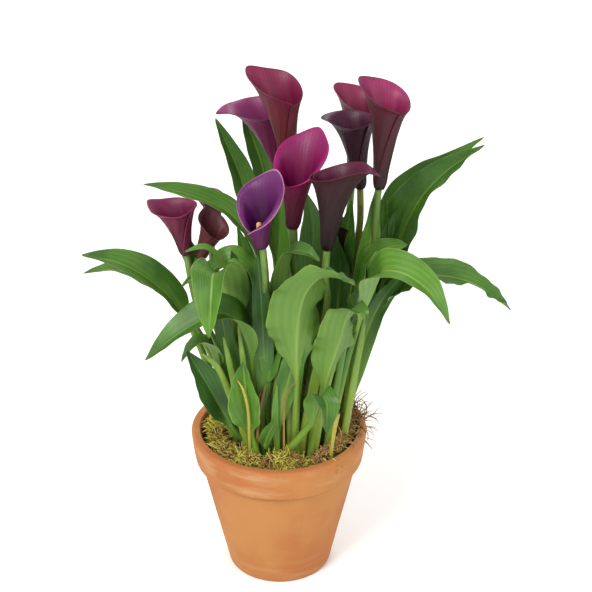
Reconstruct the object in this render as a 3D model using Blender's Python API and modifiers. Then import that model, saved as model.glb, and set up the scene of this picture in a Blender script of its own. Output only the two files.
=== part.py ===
"""Potted calla lily: a clay pot with soil and moss, a clump of leaves and twelve flowers.

Metres, +Z up, front toward -Y. The pot's foot stands on z = 0, centred on the origin.
"""
import math

import bmesh
import bpy
from mathutils import Matrix, Vector

for leftover in list(bpy.data.objects):
    bpy.data.objects.remove(leftover, do_unlink=True)

# Pot
POT_HEIGHT = 0.142
RIM_RADIUS = 0.0795
BAND_HEIGHT = 0.030
BAND_TAPER = 0.003
BAND_STEP = 0.0048
FOOT_RADIUS = 0.048
WALL = 0.0085
FLOOR = 0.010
LIP_ROUND = 0.003
DRAIN_RADIUS = 0.004
DRAIN_OFFSET = 0.020
DRAIN_COUNT = 3
POT_SIDES = 64

# Soil and moss
SOIL_DROP = 0.016
SEAT_GAP = 0.0003
ROOT_DEPTH = 0.012
CLUMP_RADIUS = 0.049
CLUMP_SHIFT = 0.006
MOSS_HEIGHT = 0.013
MOSS_MARGIN = 0.002

# Whole plant: heights are shares of PLANT_HEIGHT above the soil, plan places shares of the reach
PLANT_HEIGHT = 0.350
PLANT_REACH = 0.200
HEART_RADIUS = 0.090
HEART_SHARE = 0.45

# Leaves
LEAF_WIDTH = 0.034
LEAF_THICKNESS = 0.0011
PETIOLE_RADIUS = 0.0042
COLLAR_RADIUS = 0.0028

# Flowers
STEM_RADIUS = 0.0034
NECK_RADIUS = 0.0030
SPADIX_RADIUS = 0.0036
SPADIX_SHARE = 0.45
SPATHE_LENGTH = 0.100
SPATHE_MOUTH = 0.0175
SPATHE_THICKNESS = 0.0010
SPATHE_LAP_GAP = 0.0008

SOIL_TOP = POT_HEIGHT - SOIL_DROP
UP = Vector((0.0, 0.0, 1.0))
GOLDEN_ANGLE = math.radians(137.5)
SPOT_COUNT = 42


def collection(name):
    """Return the named collection, made on first use."""
    found = bpy.data.collections.get(name)
    if found is None:
        found = bpy.data.collections.new(name)
        bpy.context.scene.collection.children.link(found)
    return found


def finish(name, color, roughness):
    """Make a plain Principled material."""
    made = bpy.data.materials.new(name)
    made.use_nodes = True
    shader = made.node_tree.nodes["Principled BSDF"]
    shader.inputs["Base Color"].default_value = (*color, 1.0)
    shader.inputs["Roughness"].default_value = roughness
    return made


def add_object(name, data, group, color, roughness):
    """Link mesh or curve data as a named object with its own material."""
    made = bpy.data.objects.new(name, data)
    collection(group).objects.link(made)
    made.data.materials.append(finish(name + "_finish", color, roughness))
    return made


def mesh_from(name, points, faces):
    """Build mesh data with outward faces from points and faces."""
    data = bpy.data.meshes.new(name)
    data.from_pydata([tuple(p) for p in points], [], faces)
    work = bmesh.new()
    work.from_mesh(data)
    bmesh.ops.recalc_face_normals(work, faces=work.faces)
    work.to_mesh(data)
    work.free()
    return data


def inner_radius(height):
    """Radius of the pot's inner wall at a height."""
    share = (height - FLOOR) / (POT_HEIGHT - FLOOR)
    return (FOOT_RADIUS - WALL) + share * ((RIM_RADIUS - WALL) - (FOOT_RADIUS - WALL))


def turned(name, profile, group, color, roughness):
    """Turn a profile of (radius, height) pairs, outer side top to bottom, about Z."""
    count = len(profile)
    edges = [(i, (i + 1) % count) for i in range(count)]
    if profile[0][0] == 0.0:
        edges.pop()
    data = bpy.data.meshes.new(name)
    data.from_pydata([(r, 0.0, z) for r, z in profile], edges, [])
    made = add_object(name, data, group, color, roughness)
    screw = made.modifiers.new("turn", "SCREW")
    screw.axis = "Z"
    screw.steps = POT_SIDES
    screw.render_steps = POT_SIDES
    screw.use_merge_vertices = True
    screw.merge_threshold = 0.00005
    screw.use_smooth_shade = False
    return made


def cut(target, cutter):
    """Subtract a cutter from a target."""
    cutter.hide_render = True
    cutter.display_type = "WIRE"
    step = target.modifiers.new("cut", "BOOLEAN")
    step.operation = "DIFFERENCE"
    step.solver = "EXACT"
    step.object = cutter


def cylinders(name, places, radius, bottom, top, sides):
    """One cutter mesh of upright cylinders at several plan places."""
    work = bmesh.new()
    for x, y in places:
        shift = Matrix.Translation((x, y, (bottom + top) / 2))
        bmesh.ops.create_cone(work, cap_ends=True, segments=sides, radius1=radius, radius2=radius,
                              depth=top - bottom, matrix=shift)
    data = bpy.data.meshes.new(name)
    work.to_mesh(data)
    work.free()
    made = bpy.data.objects.new(name, data)
    collection("cutters").objects.link(made)
    return made


# --- pot -------------------------------------------------------------------------------------
band_foot = POT_HEIGHT - BAND_HEIGHT
body_top = RIM_RADIUS - BAND_TAPER - BAND_STEP
pot = turned("pot", [
    (RIM_RADIUS - LIP_ROUND, POT_HEIGHT),
    (RIM_RADIUS - 0.3 * LIP_ROUND, POT_HEIGHT - 0.3 * LIP_ROUND),
    (RIM_RADIUS, POT_HEIGHT - LIP_ROUND),
    (RIM_RADIUS - BAND_TAPER, band_foot),
    (RIM_RADIUS - BAND_TAPER - 0.4 * BAND_STEP, band_foot - 0.0012),
    (body_top, band_foot - 0.0020),
    (FOOT_RADIUS, 0.0020),
    (FOOT_RADIUS - 0.0020, 0.0),
    (0.0, 0.0),
    (0.0, FLOOR),
    (FOOT_RADIUS - WALL, FLOOR),
    (RIM_RADIUS - WALL - 0.0005, POT_HEIGHT - 0.5 * LIP_ROUND),
    (RIM_RADIUS - WALL + 0.3 * LIP_ROUND, POT_HEIGHT),
], "pot", (0.62, 0.25, 0.12), 0.85)
drain_angles = [math.radians(90 + 360 * i / DRAIN_COUNT) for i in range(DRAIN_COUNT)]
drains = cylinders("drain_holes", [(DRAIN_OFFSET * math.cos(a), DRAIN_OFFSET * math.sin(a))
                                   for a in drain_angles],
                   DRAIN_RADIUS, -0.005, FLOOR + 0.005, 12)
cut(pot, drains)


# --- soil with a socket for every stalk --------------------------------------------------------
def spot(number):
    """Plan place of one planting spot on a spiral that fills the clump evenly."""
    radius = CLUMP_RADIUS * math.sqrt((number + 0.5) / SPOT_COUNT)
    angle = GOLDEN_ANGLE * number
    return Vector((CLUMP_SHIFT + radius * math.cos(angle), radius * math.sin(angle), 0.0))


soil_bottom = FLOOR + SEAT_GAP
soil = turned("soil", [
    (0.0, SOIL_TOP),
    (inner_radius(SOIL_TOP) - 2 * SEAT_GAP, SOIL_TOP),
    (inner_radius(soil_bottom) - 2 * SEAT_GAP, soil_bottom),
    (0.0, soil_bottom),
], "soil", (0.05, 0.03, 0.02), 0.95)
used_spots = []


# --- moss ------------------------------------------------------------------------------------
def moss(name, start, end, inner, lift):
    """One arched cushion of moss between the clump and the pot's wall, over a plan angle."""
    outer = inner_radius(SOIL_TOP) - MOSS_MARGIN
    base = SOIL_TOP + SEAT_GAP
    stations = 7
    points, faces = [], []
    for i in range(stations):
        along = i / (stations - 1)
        angle = math.radians(start + (end - start) * along)
        swell = 0.35 + 0.65 * math.sin(math.pi * along) ** 0.7
        wave = 1.0 + 0.12 * math.sin(3.1 * i + start)
        mid = (inner + outer) / 2
        half = (outer - inner) / 2 * swell
        high = MOSS_HEIGHT * lift * swell * wave
        for across, up in ((-1.0, 0.0), (-0.8, 0.6), (-0.1, 1.0), (0.7, 0.75), (1.0, 0.0)):
            radius = mid + half * across
            points.append((radius * math.cos(angle), radius * math.sin(angle), base + high * up))
    ring = 5
    for i in range(stations - 1):
        for j in range(ring):
            a, b = i * ring + j, i * ring + (j + 1) % ring
            faces.append((a, b, b + ring, a + ring))
    faces.append(tuple(range(ring)))
    faces.append(tuple(range((stations - 1) * ring, stations * ring)))
    add_object(name, mesh_from(name, points, faces), "moss", (0.30, 0.30, 0.08), 0.95)


moss("moss_front_left", -152, -108, 0.0530, 0.9)
moss("moss_front", -104, -66, 0.0530, 1.0)
moss("moss_right", -60, 34, 0.0585, 1.2)
moss("moss_back", 42, 136, 0.0560, 1.0)
moss("moss_left", 144, 202, 0.0500, 0.9)


# --- shared helpers for grown shapes -----------------------------------------------------------
def place(x, y, z):
    """Turn plan shares of the reach and a share of the plant height into a point.

    Shares up to HEART_SHARE fill the crowded heart, and the rest runs on to the full reach.
    """
    away = math.hypot(x, y)
    radius = min(away, HEART_SHARE) * HEART_RADIUS / HEART_SHARE
    radius += max(away - HEART_SHARE, 0.0) * (PLANT_REACH - HEART_RADIUS) / (1.0 - HEART_SHARE)
    turn = math.atan2(y, x)
    return Vector((radius * math.cos(turn), radius * math.sin(turn), SOIL_TOP + z * PLANT_HEIGHT))


def smooth_line(points, count):
    """Evenly spaced points along a smooth line through the given ones."""
    ends = [points[0] * 2 - points[1]] + points + [points[-1] * 2 - points[-2]]
    fine = []
    for a, b, c, d in zip(ends, ends[1:], ends[2:], ends[3:]):
        for i in range(24):
            t = i / 24
            fine.append(0.5 * ((2 * b) + (c - a) * t + (2 * a - 5 * b + 4 * c - d) * t * t
                               + (3 * b - a - 3 * c + d) * t ** 3))
    fine.append(points[-1].copy())
    lengths = [0.0]
    for a, b in zip(fine, fine[1:]):
        lengths.append(lengths[-1] + (b - a).length)
    total, line, k = lengths[-1], [], 0
    for i in range(count):
        want = total * i / (count - 1)
        while k < len(fine) - 2 and lengths[k + 1] < want:
            k += 1
        part = (want - lengths[k]) / max(lengths[k + 1] - lengths[k], 1e-9)
        line.append(fine[k].lerp(fine[k + 1], min(max(part, 0.0), 1.0)))
    return line


def smoothstep(value):
    """Ease from 0 to 1."""
    value = min(max(value, 0.0), 1.0)
    return value * value * (3 - 2 * value)


def loft(rings):
    """Faces between closed rings of equal count, with a cap on each end.

    The first half of a ring is one side of a sheet and the second half runs back along the
    other, so both sides are split on the same diagonals and the sheet keeps its thickness.
    """
    count = len(rings[0])
    points = [p for ring in rings for p in ring]
    faces = []
    for i in range(len(rings) - 1):
        for j in range(count):
            a, b = i * count + j, i * count + (j + 1) % count
            if j < count // 2:
                faces += [(a, b, b + count), (a, b + count, a + count)]
            else:
                faces += [(a, b, a + count), (b, b + count, a + count)]
    faces.append(tuple(range(count)))
    faces.append(tuple(range(len(points) - count, len(points))))
    return points, faces


# --- leaves ----------------------------------------------------------------------------------
# Section of a blade as (side share, lies on the lower face), from one edge round to the other
SECTION = ((-1.0, 0), (-0.5, 0), (0.0, 0), (0.5, 0), (1.0, 0), (0.5, 1), (0.0, 1), (-0.5, 1))
BLADE_STEPS = (0.0, 0.10, 0.22, 0.35, 0.49, 0.63, 0.77, 0.89, 1.0)


def leaf(name, root, path, width=1.0, collar=0.4, fold=0.45, turn=(0.0, 0.0), face=None,
         widest=0.44, thick=1.0):
    """One leaf: a round stalk from its spot in the soil that opens into a folded blade.

    path holds (x, y, z) shares; collar is the share of the line where the blade begins;
    fold lifts the edges; turn rolls the blade, in degrees, from collar to tip; face is the
    plan direction, in degrees from the front toward the right, that the leaf leans to.
    """
    used_spots.append(root)
    foot = spot(root)
    start = Vector((foot.x, foot.y, SOIL_TOP + 0.002))
    line = smooth_line([start, start + UP * 0.012] + [place(*p) for p in path], 121)
    lean = Vector((line[-1].x - start.x, line[-1].y - start.y, 0.0)).normalized()
    if face is not None:
        lean = Vector((math.sin(math.radians(face)), -math.cos(math.radians(face)), 0.0))
    side_rest = lean.cross(UP)
    stations = [collar * s for s in (0.0, 0.25, 0.5, 0.75)]
    stations += [collar + (1.0 - collar) * s for s in BLADE_STEPS]
    half_full = LEAF_WIDTH * width / 2
    rise_power, fall_power = widest * 1.7, (1 - widest) * 1.7
    peak = widest ** rise_power * (1 - widest) ** fall_power

    def ring(center, along, share):
        blade = max(0.0, (share - collar) / (1.0 - collar))
        outline = blade ** rise_power * max(1.0 - blade, 0.0) ** fall_power / peak
        round_radius = (PETIOLE_RADIUS + (COLLAR_RADIUS - PETIOLE_RADIUS)
                        * min(share / collar, 1.0)) * thick
        half = max(round_radius * (1.0 - smoothstep(blade / 0.3)),
                   0.0004) + (half_full - round_radius * 0.3) * outline
        flat = smoothstep(blade / 0.22)
        roll = math.radians(turn[0] + (turn[1] - turn[0]) * smoothstep(blade))
        side = (side_rest - along * side_rest.dot(along)).normalized()
        side = Matrix.Rotation(roll, 3, along) @ side
        upper = side.cross(along)
        made = []
        for number, (across, lower) in enumerate(SECTION):
            spin = math.pi - number * math.pi / 4
            disc = side * (math.cos(spin) * round_radius) + upper * (math.sin(spin) * round_radius)
            core = LEAF_THICKNESS / 2 * (1.0 - 0.5 * abs(across)) * (0.35 + 0.65 * (1 - blade))
            rib = COLLAR_RADIUS * 0.55 * (1 - blade) if across == 0.0 and lower else 0.0
            depth = 0.0 if abs(across) == 1.0 else (-(core + rib) if lower else core)
            cup = fold * half * (abs(across) ** 1.5)
            sheet = side * (across * half) + upper * (cup + depth)
            made.append(center + disc.lerp(sheet, flat))
        return made

    buried = Vector((foot.x, foot.y, SOIL_TOP - ROOT_DEPTH))
    rings = [ring(buried, UP, 0.0)]
    for share in stations:
        at = share * 120
        low = min(int(at), 119)
        center = line[low].lerp(line[low + 1], at - low)
        before, after = line[max(low - 1, 0)], line[min(low + 2, 120)]
        along = UP if share == 0.0 else (after - before).normalized()
        rings.append(ring(center, along, share))
    points, faces = loft(rings)
    add_object(name, mesh_from(name, points, faces), "leaves", (0.16, 0.36, 0.07), 0.5)


# --- flowers ---------------------------------------------------------------------------------
RIM_COLUMNS = 11
COLUMN_TURN = math.radians(40)
SPATHE_STEPS = (0.0, 0.14, 0.32, 0.52, 0.72, 0.88, 1.0)


def flower(number, root, path, base, lean, face, length=1.0, mouth=1.0, front=0.68, flare=0.25,
           hook=0.16, sweep=70.0, hand=1):
    """One flower: a stem that ends in a spadix, and the rolled spathe round it.

    base is where the spathe grips the stem; lean is (plan direction, degrees off upright);
    face is the plan direction its low open side looks to; front is the rim's height there;
    hook throws the peak outward; sweep winds the free edge round the tube; hand is its sense.
    """
    used_spots.append(root)
    foot = spot(root)
    start = Vector((foot.x, foot.y, SOIL_TOP - ROOT_DEPTH))
    grip = place(*base)
    toward = Vector((math.sin(math.radians(lean[0])), -math.cos(math.radians(lean[0])), 0.0))
    axis = (UP * math.cos(math.radians(lean[1])) + toward * math.sin(math.radians(lean[1])))
    size = SPATHE_LENGTH * length
    collar = start + UP * (ROOT_DEPTH + 0.002)
    lower = [collar, collar + UP * 0.012] + [place(*p) for p in path]
    line = [start] + smooth_line(lower + [grip - axis * 0.022, grip - axis * 0.006], 9)
    radii = [STEM_RADIUS + (NECK_RADIUS - STEM_RADIUS) * i / 9 for i in range(10)]
    core = SPADIX_SHARE * size
    swell = SPADIX_RADIUS * (0.55 + 0.45 * length)
    for share, radius in ((0.0, NECK_RADIUS), (0.25, NECK_RADIUS * 0.9), (0.5, swell * 0.95),
                          (0.85, swell), (0.96, swell * 0.75), (1.0, swell * 0.25)):
        line.append(grip + axis * (core * share))
        radii.append(radius)
    data = bpy.data.curves.new(f"flower_stem_{number:02d}", "CURVE")
    data.dimensions = "3D"
    spline = data.splines.new("POLY")
    spline.points.add(len(line) - 1)
    for point, at, radius in zip(spline.points, line, radii):
        point.co = (*at, 1.0)
        point.radius = radius / STEM_RADIUS
    data.bevel_depth = STEM_RADIUS
    data.bevel_resolution = 1
    data.use_fill_caps = True
    add_object(f"flower_stem_{number:02d}", data, "flowers", (0.35, 0.42, 0.12), 0.45)

    out = Vector((math.sin(math.radians(face)), -math.cos(math.radians(face)), 0.0))
    open_side = (out - axis * out.dot(axis)).normalized()
    cross = axis.cross(open_side) * hand
    throat = (NECK_RADIUS + SEAT_GAP) / math.cos(math.pi / 8) + 0.0004
    wide = SPATHE_MOUTH * mouth
    lap = SPATHE_THICKNESS + SPATHE_LAP_GAP
    rings = []
    for share in SPATHE_STEPS:
        outer_row, inner_row = [], []
        for i in range(RIM_COLUMNS):
            rest = (i - 5) * COLUMN_TURN
            peak = 0.75 * ((1 + math.cos(rest)) / 2) ** 1.3 + 0.25 * math.exp(-(rest / 0.5) ** 2)
            rim = size * (front + (1 - front) * peak)
            height = rim * share
            angle = rest + math.radians(sweep) * (1 - share) ** 1.5
            level = height / size
            body = throat + (wide - throat) * level ** 1.25
            lip = flare * wide * share ** 5 * (0.35 + 0.65 * (1 - peak))
            spread = lap * (i / 9 - 0.5) * smoothstep(share * 4) + lap * i / 9 * (1 - smoothstep(share * 4))
            around = -open_side * math.cos(angle) + cross * math.sin(angle)
            back = -open_side * (hook * size * peak * max(0.0, level - 0.55) ** 1.6 * 3.0)
            for row, radius in ((outer_row, SPATHE_THICKNESS), (inner_row, 0.0)):
                row.append(grip + axis * height + around * (body + lip + spread + radius) + back)
        rings.append(outer_row + inner_row[::-1])
    points, faces = loft(rings)
    faces = faces[:-2]
    count = 2 * RIM_COLUMNS
    for offset in (0, len(points) - count):
        for i in range(RIM_COLUMNS - 1):
            faces.append(tuple(offset + k for k in (i, i + 1, count - 2 - i, count - 1 - i)))
    name = f"spathe_{number:02d}"
    add_object(name, mesh_from(name, points, faces), "flowers", (0.30, 0.03, 0.16), 0.4)


flower(1, 6, [(0.04, 0.12, 0.25), (0.07, 0.15, 0.49)], (0.05, 0.16, 0.702), (-70, 6), 55, mouth=1.0,
       front=0.84)
flower(2, 19, [(0.03, 0.22, 0.25), (0.05, 0.28, 0.47)], (0.02, 0.32, 0.660), (-75, 15), 65, length=0.78,
       mouth=0.95, front=0.90, hook=0.22)
flower(3, 0, [(0.07, -0.02, 0.22), (0.08, -0.06, 0.45)], (0.065, -0.085, 0.632), (70, 4), -30,
       length=0.90, mouth=1.25, front=0.62)
flower(4, 7, [(-0.04, -0.07, 0.25), (-0.055, -0.15, 0.42)], (-0.06, -0.27, 0.632), (-40, 10), -38,
       length=0.66, mouth=1.28, front=0.55)
flower(5, 5, [(0.15, -0.07, 0.25), (0.21, -0.12, 0.43)], (0.205, -0.235, 0.616), (75, 6), -105,
       length=0.90, mouth=1.15, front=0.70, hook=0.20)
flower(6, 34, [(0.33, 0.03, 0.22), (0.40, 0.05, 0.47)], (0.425, 0.025, 0.708), (90, 4), 55, mouth=0.98,
       front=0.82)
flower(7, 32, [(0.19, 0.28, 0.25), (0.29, 0.38, 0.44)], (0.33, 0.42, 0.647), (80, 3), 50, length=0.86,
       mouth=0.85, front=0.85)
flower(8, 16, [(0.25, 0.14, 0.25), (0.33, 0.19, 0.47)], (0.355, 0.23, 0.659), (-80, 6), 60,
       length=0.70, mouth=0.85, front=0.90)
flower(9, 17, [(-0.24, 0.02, 0.22), (-0.36, 0.02, 0.40)], (-0.395, 0.00, 0.540), (-80, 10), 70,
       length=0.50, mouth=0.85, front=0.88)
flower(10, 35, [(-0.17, 0.20, 0.22), (-0.26, 0.27, 0.38)], (-0.30, 0.29, 0.515), (60, 3), 30, length=0.48,
       mouth=0.60)
flower(11, 9, [(-0.18, 0.05, 0.24), (-0.29, 0.05, 0.40)], (-0.34, 0.045, 0.520), (80, 24), 40,
       length=0.45, mouth=0.75, front=0.70)
flower(12, 11, [(0.14, 0.15, 0.22), (0.21, 0.17, 0.37)], (0.26, 0.17, 0.495), (0, 2), 90, length=0.46,
       mouth=0.55)

# Leaves that lean left
leaf("leaf_long_left", 38, [(-0.29, 0.02, 0.17), (-0.39, 0.03, 0.33), (-0.50, 0.03, 0.43),
     (-0.66, 0.00, 0.51), (-0.84, -0.03, 0.545)], width=1.0, collar=0.48, turn=(-20, -20))
leaf("leaf_behind_left", 30, [(-0.29, 0.11, 0.20), (-0.42, 0.13, 0.34), (-0.57, 0.14, 0.42),
     (-0.71, 0.13, 0.46), (-0.86, 0.11, 0.455)], width=0.7, collar=0.5, turn=(-20, -10))
leaf("leaf_arched_left", 20, [(-0.09, -0.15, 0.21), (-0.14, -0.21, 0.39), (-0.23, -0.25, 0.455),
     (-0.39, -0.29, 0.42), (-0.56, -0.31, 0.34)], width=1.1, collar=0.40, turn=(-10, -10))
leaf("leaf_low_left", 25, [(-0.22, -0.08, 0.18), (-0.29, -0.11, 0.31), (-0.35, -0.14, 0.335),
     (-0.42, -0.17, 0.29)], width=0.6, collar=0.55)
leaf("leaf_folded_left", 12, [(-0.16, -0.06, 0.26), (-0.22, -0.13, 0.48), (-0.26, -0.23, 0.56),
     (-0.27, -0.33, 0.53), (-0.28, -0.41, 0.43)], width=1.1, collar=0.45, face=-25, fold=0.6)
leaf("leaf_waved_left", 4, [(-0.07, 0.00, 0.30), (-0.11, -0.02, 0.48), (-0.19, -0.03, 0.530),
     (-0.31, -0.01, 0.490), (-0.42, -0.05, 0.465)], width=0.9, collar=0.42, turn=(-25, -10))
leaf("leaf_high_left", 14, [(-0.05, 0.15, 0.26), (-0.09, 0.17, 0.48), (-0.21, 0.19, 0.60),
     (-0.42, 0.16, 0.665), (-0.58, 0.14, 0.69)], width=0.75, collar=0.5, turn=(-20, -20))
leaf("leaf_upright_left", 27, [(-0.05, 0.23, 0.25), (-0.11, 0.28, 0.47), (-0.15, 0.30, 0.64),
     (-0.21, 0.30, 0.74), (-0.27, 0.29, 0.83)], width=0.7, collar=0.52, face=-150)
leaf("leaf_upright_back", 40, [(0.00, 0.29, 0.25), (-0.02, 0.37, 0.45), (-0.06, 0.44, 0.63),
     (-0.11, 0.46, 0.73), (-0.17, 0.46, 0.82)], width=0.8, collar=0.5, face=-160)
leaf("leaf_side_left", 22, [(-0.24, 0.13, 0.22), (-0.33, 0.13, 0.38), (-0.39, 0.12, 0.48),
     (-0.43, 0.13, 0.58)], width=0.9, collar=0.5, face=-120)
leaf("leaf_dark_left", 33, [(-0.20, -0.16, 0.09), (-0.30, -0.18, 0.22), (-0.39, -0.20, 0.33)],
     width=0.8, collar=0.30, face=-160, turn=(0, 20))
leaf("leaf_sheath_left", 41, [(-0.12, -0.21, 0.10), (-0.14, -0.22, 0.21), (-0.15, -0.23, 0.31)],
     width=0.85, collar=0.30, face=170, fold=0.8)
leaf("leaf_fresh_left", 28, [(-0.06, -0.235, 0.08), (-0.01, -0.26, 0.155)], width=0.35, collar=0.35,
     face=150)

# Leaves at the middle
leaf("leaf_hanging_middle", 15, [(-0.02, -0.12, 0.22), (-0.02, -0.15, 0.320), (-0.03, -0.19, 0.310),
     (-0.04, -0.215, 0.245)], width=0.75, collar=0.50, face=-10)
leaf("leaf_broad_middle", 23, [(0.08, -0.23, 0.24), (0.08, -0.27, 0.40), (0.11, -0.31, 0.52),
     (0.20, -0.36, 0.585), (0.32, -0.41, 0.57)], width=1.42, collar=0.38, face=60, turn=(-55, -20))
leaf("leaf_crest_middle", 2, [(0.05, -0.09, 0.28), (0.03, -0.14, 0.46), (0.05, -0.16, 0.575),
     (0.10, -0.20, 0.605), (0.18, -0.24, 0.585)], width=0.9, collar=0.45, turn=(20, 20))
leaf("leaf_tall_middle", 3, [(0.11, 0.06, 0.26), (0.14, 0.05, 0.46), (0.15, 0.04, 0.60),
     (0.12, 0.05, 0.69)], width=0.8, collar=0.5, face=0)
leaf("leaf_thin_middle", 18, [(0.16, -0.10, 0.16), (0.20, -0.11, 0.26), (0.24, -0.12, 0.35)],
     width=0.4, collar=0.4, face=150)
leaf("leaf_curled_front", 36, [(0.14, -0.25, 0.14), (0.18, -0.28, 0.23), (0.21, -0.31, 0.22),
     (0.21, -0.33, 0.14)], width=0.7, collar=0.42, face=30)
leaf("leaf_small_front", 10, [(0.12, -0.12, 0.09), (0.13, -0.13, 0.17)], width=0.35, collar=0.4,
     face=170)

# Leaves that lean right
leaf("leaf_folded_right", 31, [(0.20, -0.20, 0.24), (0.26, -0.24, 0.38), (0.29, -0.28, 0.46),
     (0.33, -0.33, 0.49), (0.37, -0.37, 0.45)], width=1.1, collar=0.38, face=50, turn=(-30, -10))
leaf("leaf_front_right", 39, [(0.31, -0.10, 0.30), (0.39, -0.155, 0.475), (0.45, -0.27, 0.575),
     (0.60, -0.34, 0.55), (0.71, -0.38, 0.46)], width=1.15, collar=0.45, turn=(15, 10))
leaf("leaf_long_right", 13, [(0.30, 0.00, 0.26), (0.43, -0.04, 0.40), (0.60, -0.08, 0.50),
     (0.82, -0.09, 0.49), (1.00, -0.12, 0.42)], width=0.95, collar=0.50, turn=(20, 10))
leaf("leaf_waved_right", 26, [(0.30, -0.06, 0.28), (0.37, -0.03, 0.48), (0.44, -0.05, 0.565),
     (0.55, -0.10, 0.59)], width=0.9, collar=0.5, face=60, turn=(30, 30))
leaf("leaf_wide_right", 29, [(0.37, 0.12, 0.24), (0.46, 0.12, 0.41), (0.57, 0.12, 0.615),
     (0.70, 0.11, 0.725), (0.87, 0.07, 0.81)], width=1.4, collar=0.42, turn=(40, 30), widest=0.32)
leaf("leaf_pointed_right", 37, [(0.35, 0.26, 0.26), (0.45, 0.33, 0.45), (0.56, 0.34, 0.62),
     (0.71, 0.31, 0.695), (0.89, 0.27, 0.785)], width=0.9, collar=0.45, turn=(30, 20), widest=0.36)
leaf("leaf_dark_right", 24, [(0.27, 0.19, 0.24), (0.36, 0.24, 0.41), (0.44, 0.265, 0.52),
     (0.53, 0.275, 0.585)], width=1.0, collar=0.50, face=120)
leaf("leaf_upright_right", 21, [(0.32, 0.07, 0.24), (0.39, 0.10, 0.40), (0.44, 0.12, 0.53),
     (0.46, 0.13, 0.66)], width=0.85, collar=0.5, face=150)
leaf("leaf_inner_right", 8, [(0.23, 0.05, 0.24), (0.26, 0.09, 0.38), (0.27, 0.09, 0.48),
     (0.25, 0.08, 0.57)], width=0.7, collar=0.5, face=160)

sockets = cylinders("stalk_sockets", [spot(n).xy for n in used_spots],
                    (PETIOLE_RADIUS + SEAT_GAP) / math.cos(math.pi / 8), SOIL_TOP - ROOT_DEPTH - SEAT_GAP,
                    SOIL_TOP + 0.005, 8)
cut(soil, sockets)
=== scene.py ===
"""Looks of the potted calla lily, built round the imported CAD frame.

Every leaf, stalk and rolled flower is read from its CAD node as a stack of rings, and a finer
surface is drawn through those rings: grooved blades with waved margins, thin flared flowers,
round stalks. Pot, soil and moss get their own finer shapes. Metres, +Z up, front toward -Y.
"""

import logging
import math
import random
from dataclasses import dataclass, field
from enum import Enum
from typing import Any, Optional, Sequence

import bmesh
import bpy
import numpy as np
from mathutils import Matrix, Vector, noise
from mathutils.bvhtree import BVHTree


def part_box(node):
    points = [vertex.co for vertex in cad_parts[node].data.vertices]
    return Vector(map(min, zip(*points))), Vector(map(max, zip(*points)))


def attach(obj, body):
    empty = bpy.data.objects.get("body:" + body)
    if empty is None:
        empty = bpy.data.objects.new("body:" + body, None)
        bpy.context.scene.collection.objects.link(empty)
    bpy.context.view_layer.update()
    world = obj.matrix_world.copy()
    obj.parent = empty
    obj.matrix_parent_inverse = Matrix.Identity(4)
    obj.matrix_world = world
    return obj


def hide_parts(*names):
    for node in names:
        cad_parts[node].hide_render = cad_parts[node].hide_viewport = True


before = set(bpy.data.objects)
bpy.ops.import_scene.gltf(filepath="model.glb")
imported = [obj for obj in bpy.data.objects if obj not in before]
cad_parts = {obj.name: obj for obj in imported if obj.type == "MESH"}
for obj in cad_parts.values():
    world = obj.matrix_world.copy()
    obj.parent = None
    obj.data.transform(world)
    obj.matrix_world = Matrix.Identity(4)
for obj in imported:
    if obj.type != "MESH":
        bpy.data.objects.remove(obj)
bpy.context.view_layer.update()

log = logging.getLogger("calla")

Color = tuple[float, float, float, float]
Triple = tuple[float, float, float]

# How much of a colour seen under the studio's lamps is the surface's own.
LIGHT_SHARE = 0.66


def tint(red: int, green: int, blue: int) -> Color:
    """Turn an everyday 0 to 255 colour, as it looks under bright light, into a shader colour.

    Args:
        red: red share, 0 to 255.
        green: green share, 0 to 255.
        blue: blue share, 0 to 255.

    Returns:
        The linear colour with full alpha.
    """
    def line(value: int) -> float:
        """Straighten one channel."""
        share = value / 255
        straight = share / 12.92 if share <= 0.04045 else ((share + 0.055) / 1.055) ** 2.4
        return straight * LIGHT_SHARE
    return (line(red), line(green), line(blue), 1.0)


def ease(value: Any) -> Any:
    """Ease from 0 to 1, for a number or an array."""
    held = np.clip(value, 0.0, 1.0)
    return held * held * (3 - 2 * held)


def spline(knots: np.ndarray, at: np.ndarray, closed: bool = False) -> np.ndarray:
    """Read a smooth line through knots.

    Args:
        knots: values along the first axis.
        at: places along that axis, in knots.
        closed: whether the line runs on from the last knot to the first.

    Returns:
        One value for each place.
    """
    count = len(knots)
    if closed:
        padded = np.concatenate([knots[-1:], knots, knots[:2]])
        at = np.mod(at, count)
        last = count - 1
    else:
        padded = np.concatenate([2 * knots[:1] - knots[1:2], knots, 2 * knots[-1:] - knots[-2:-1]])
        last = count - 2
    low = np.clip(np.floor(at).astype(int), 0, last)
    t = (at - low).reshape((-1,) + (1,) * (knots.ndim - 1))
    a, b, c, d = (padded[low + k] for k in range(4))
    return 0.5 * (2 * b + (c - a) * t + (2 * a - 5 * b + 4 * c - d) * t * t
                  + (3 * b - a - 3 * c + d) * t ** 3)


def unit(vectors: np.ndarray) -> np.ndarray:
    """Scale every vector of an array to length 1."""
    return vectors / np.maximum(np.linalg.norm(vectors, axis=-1, keepdims=True), 1e-9)


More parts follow.
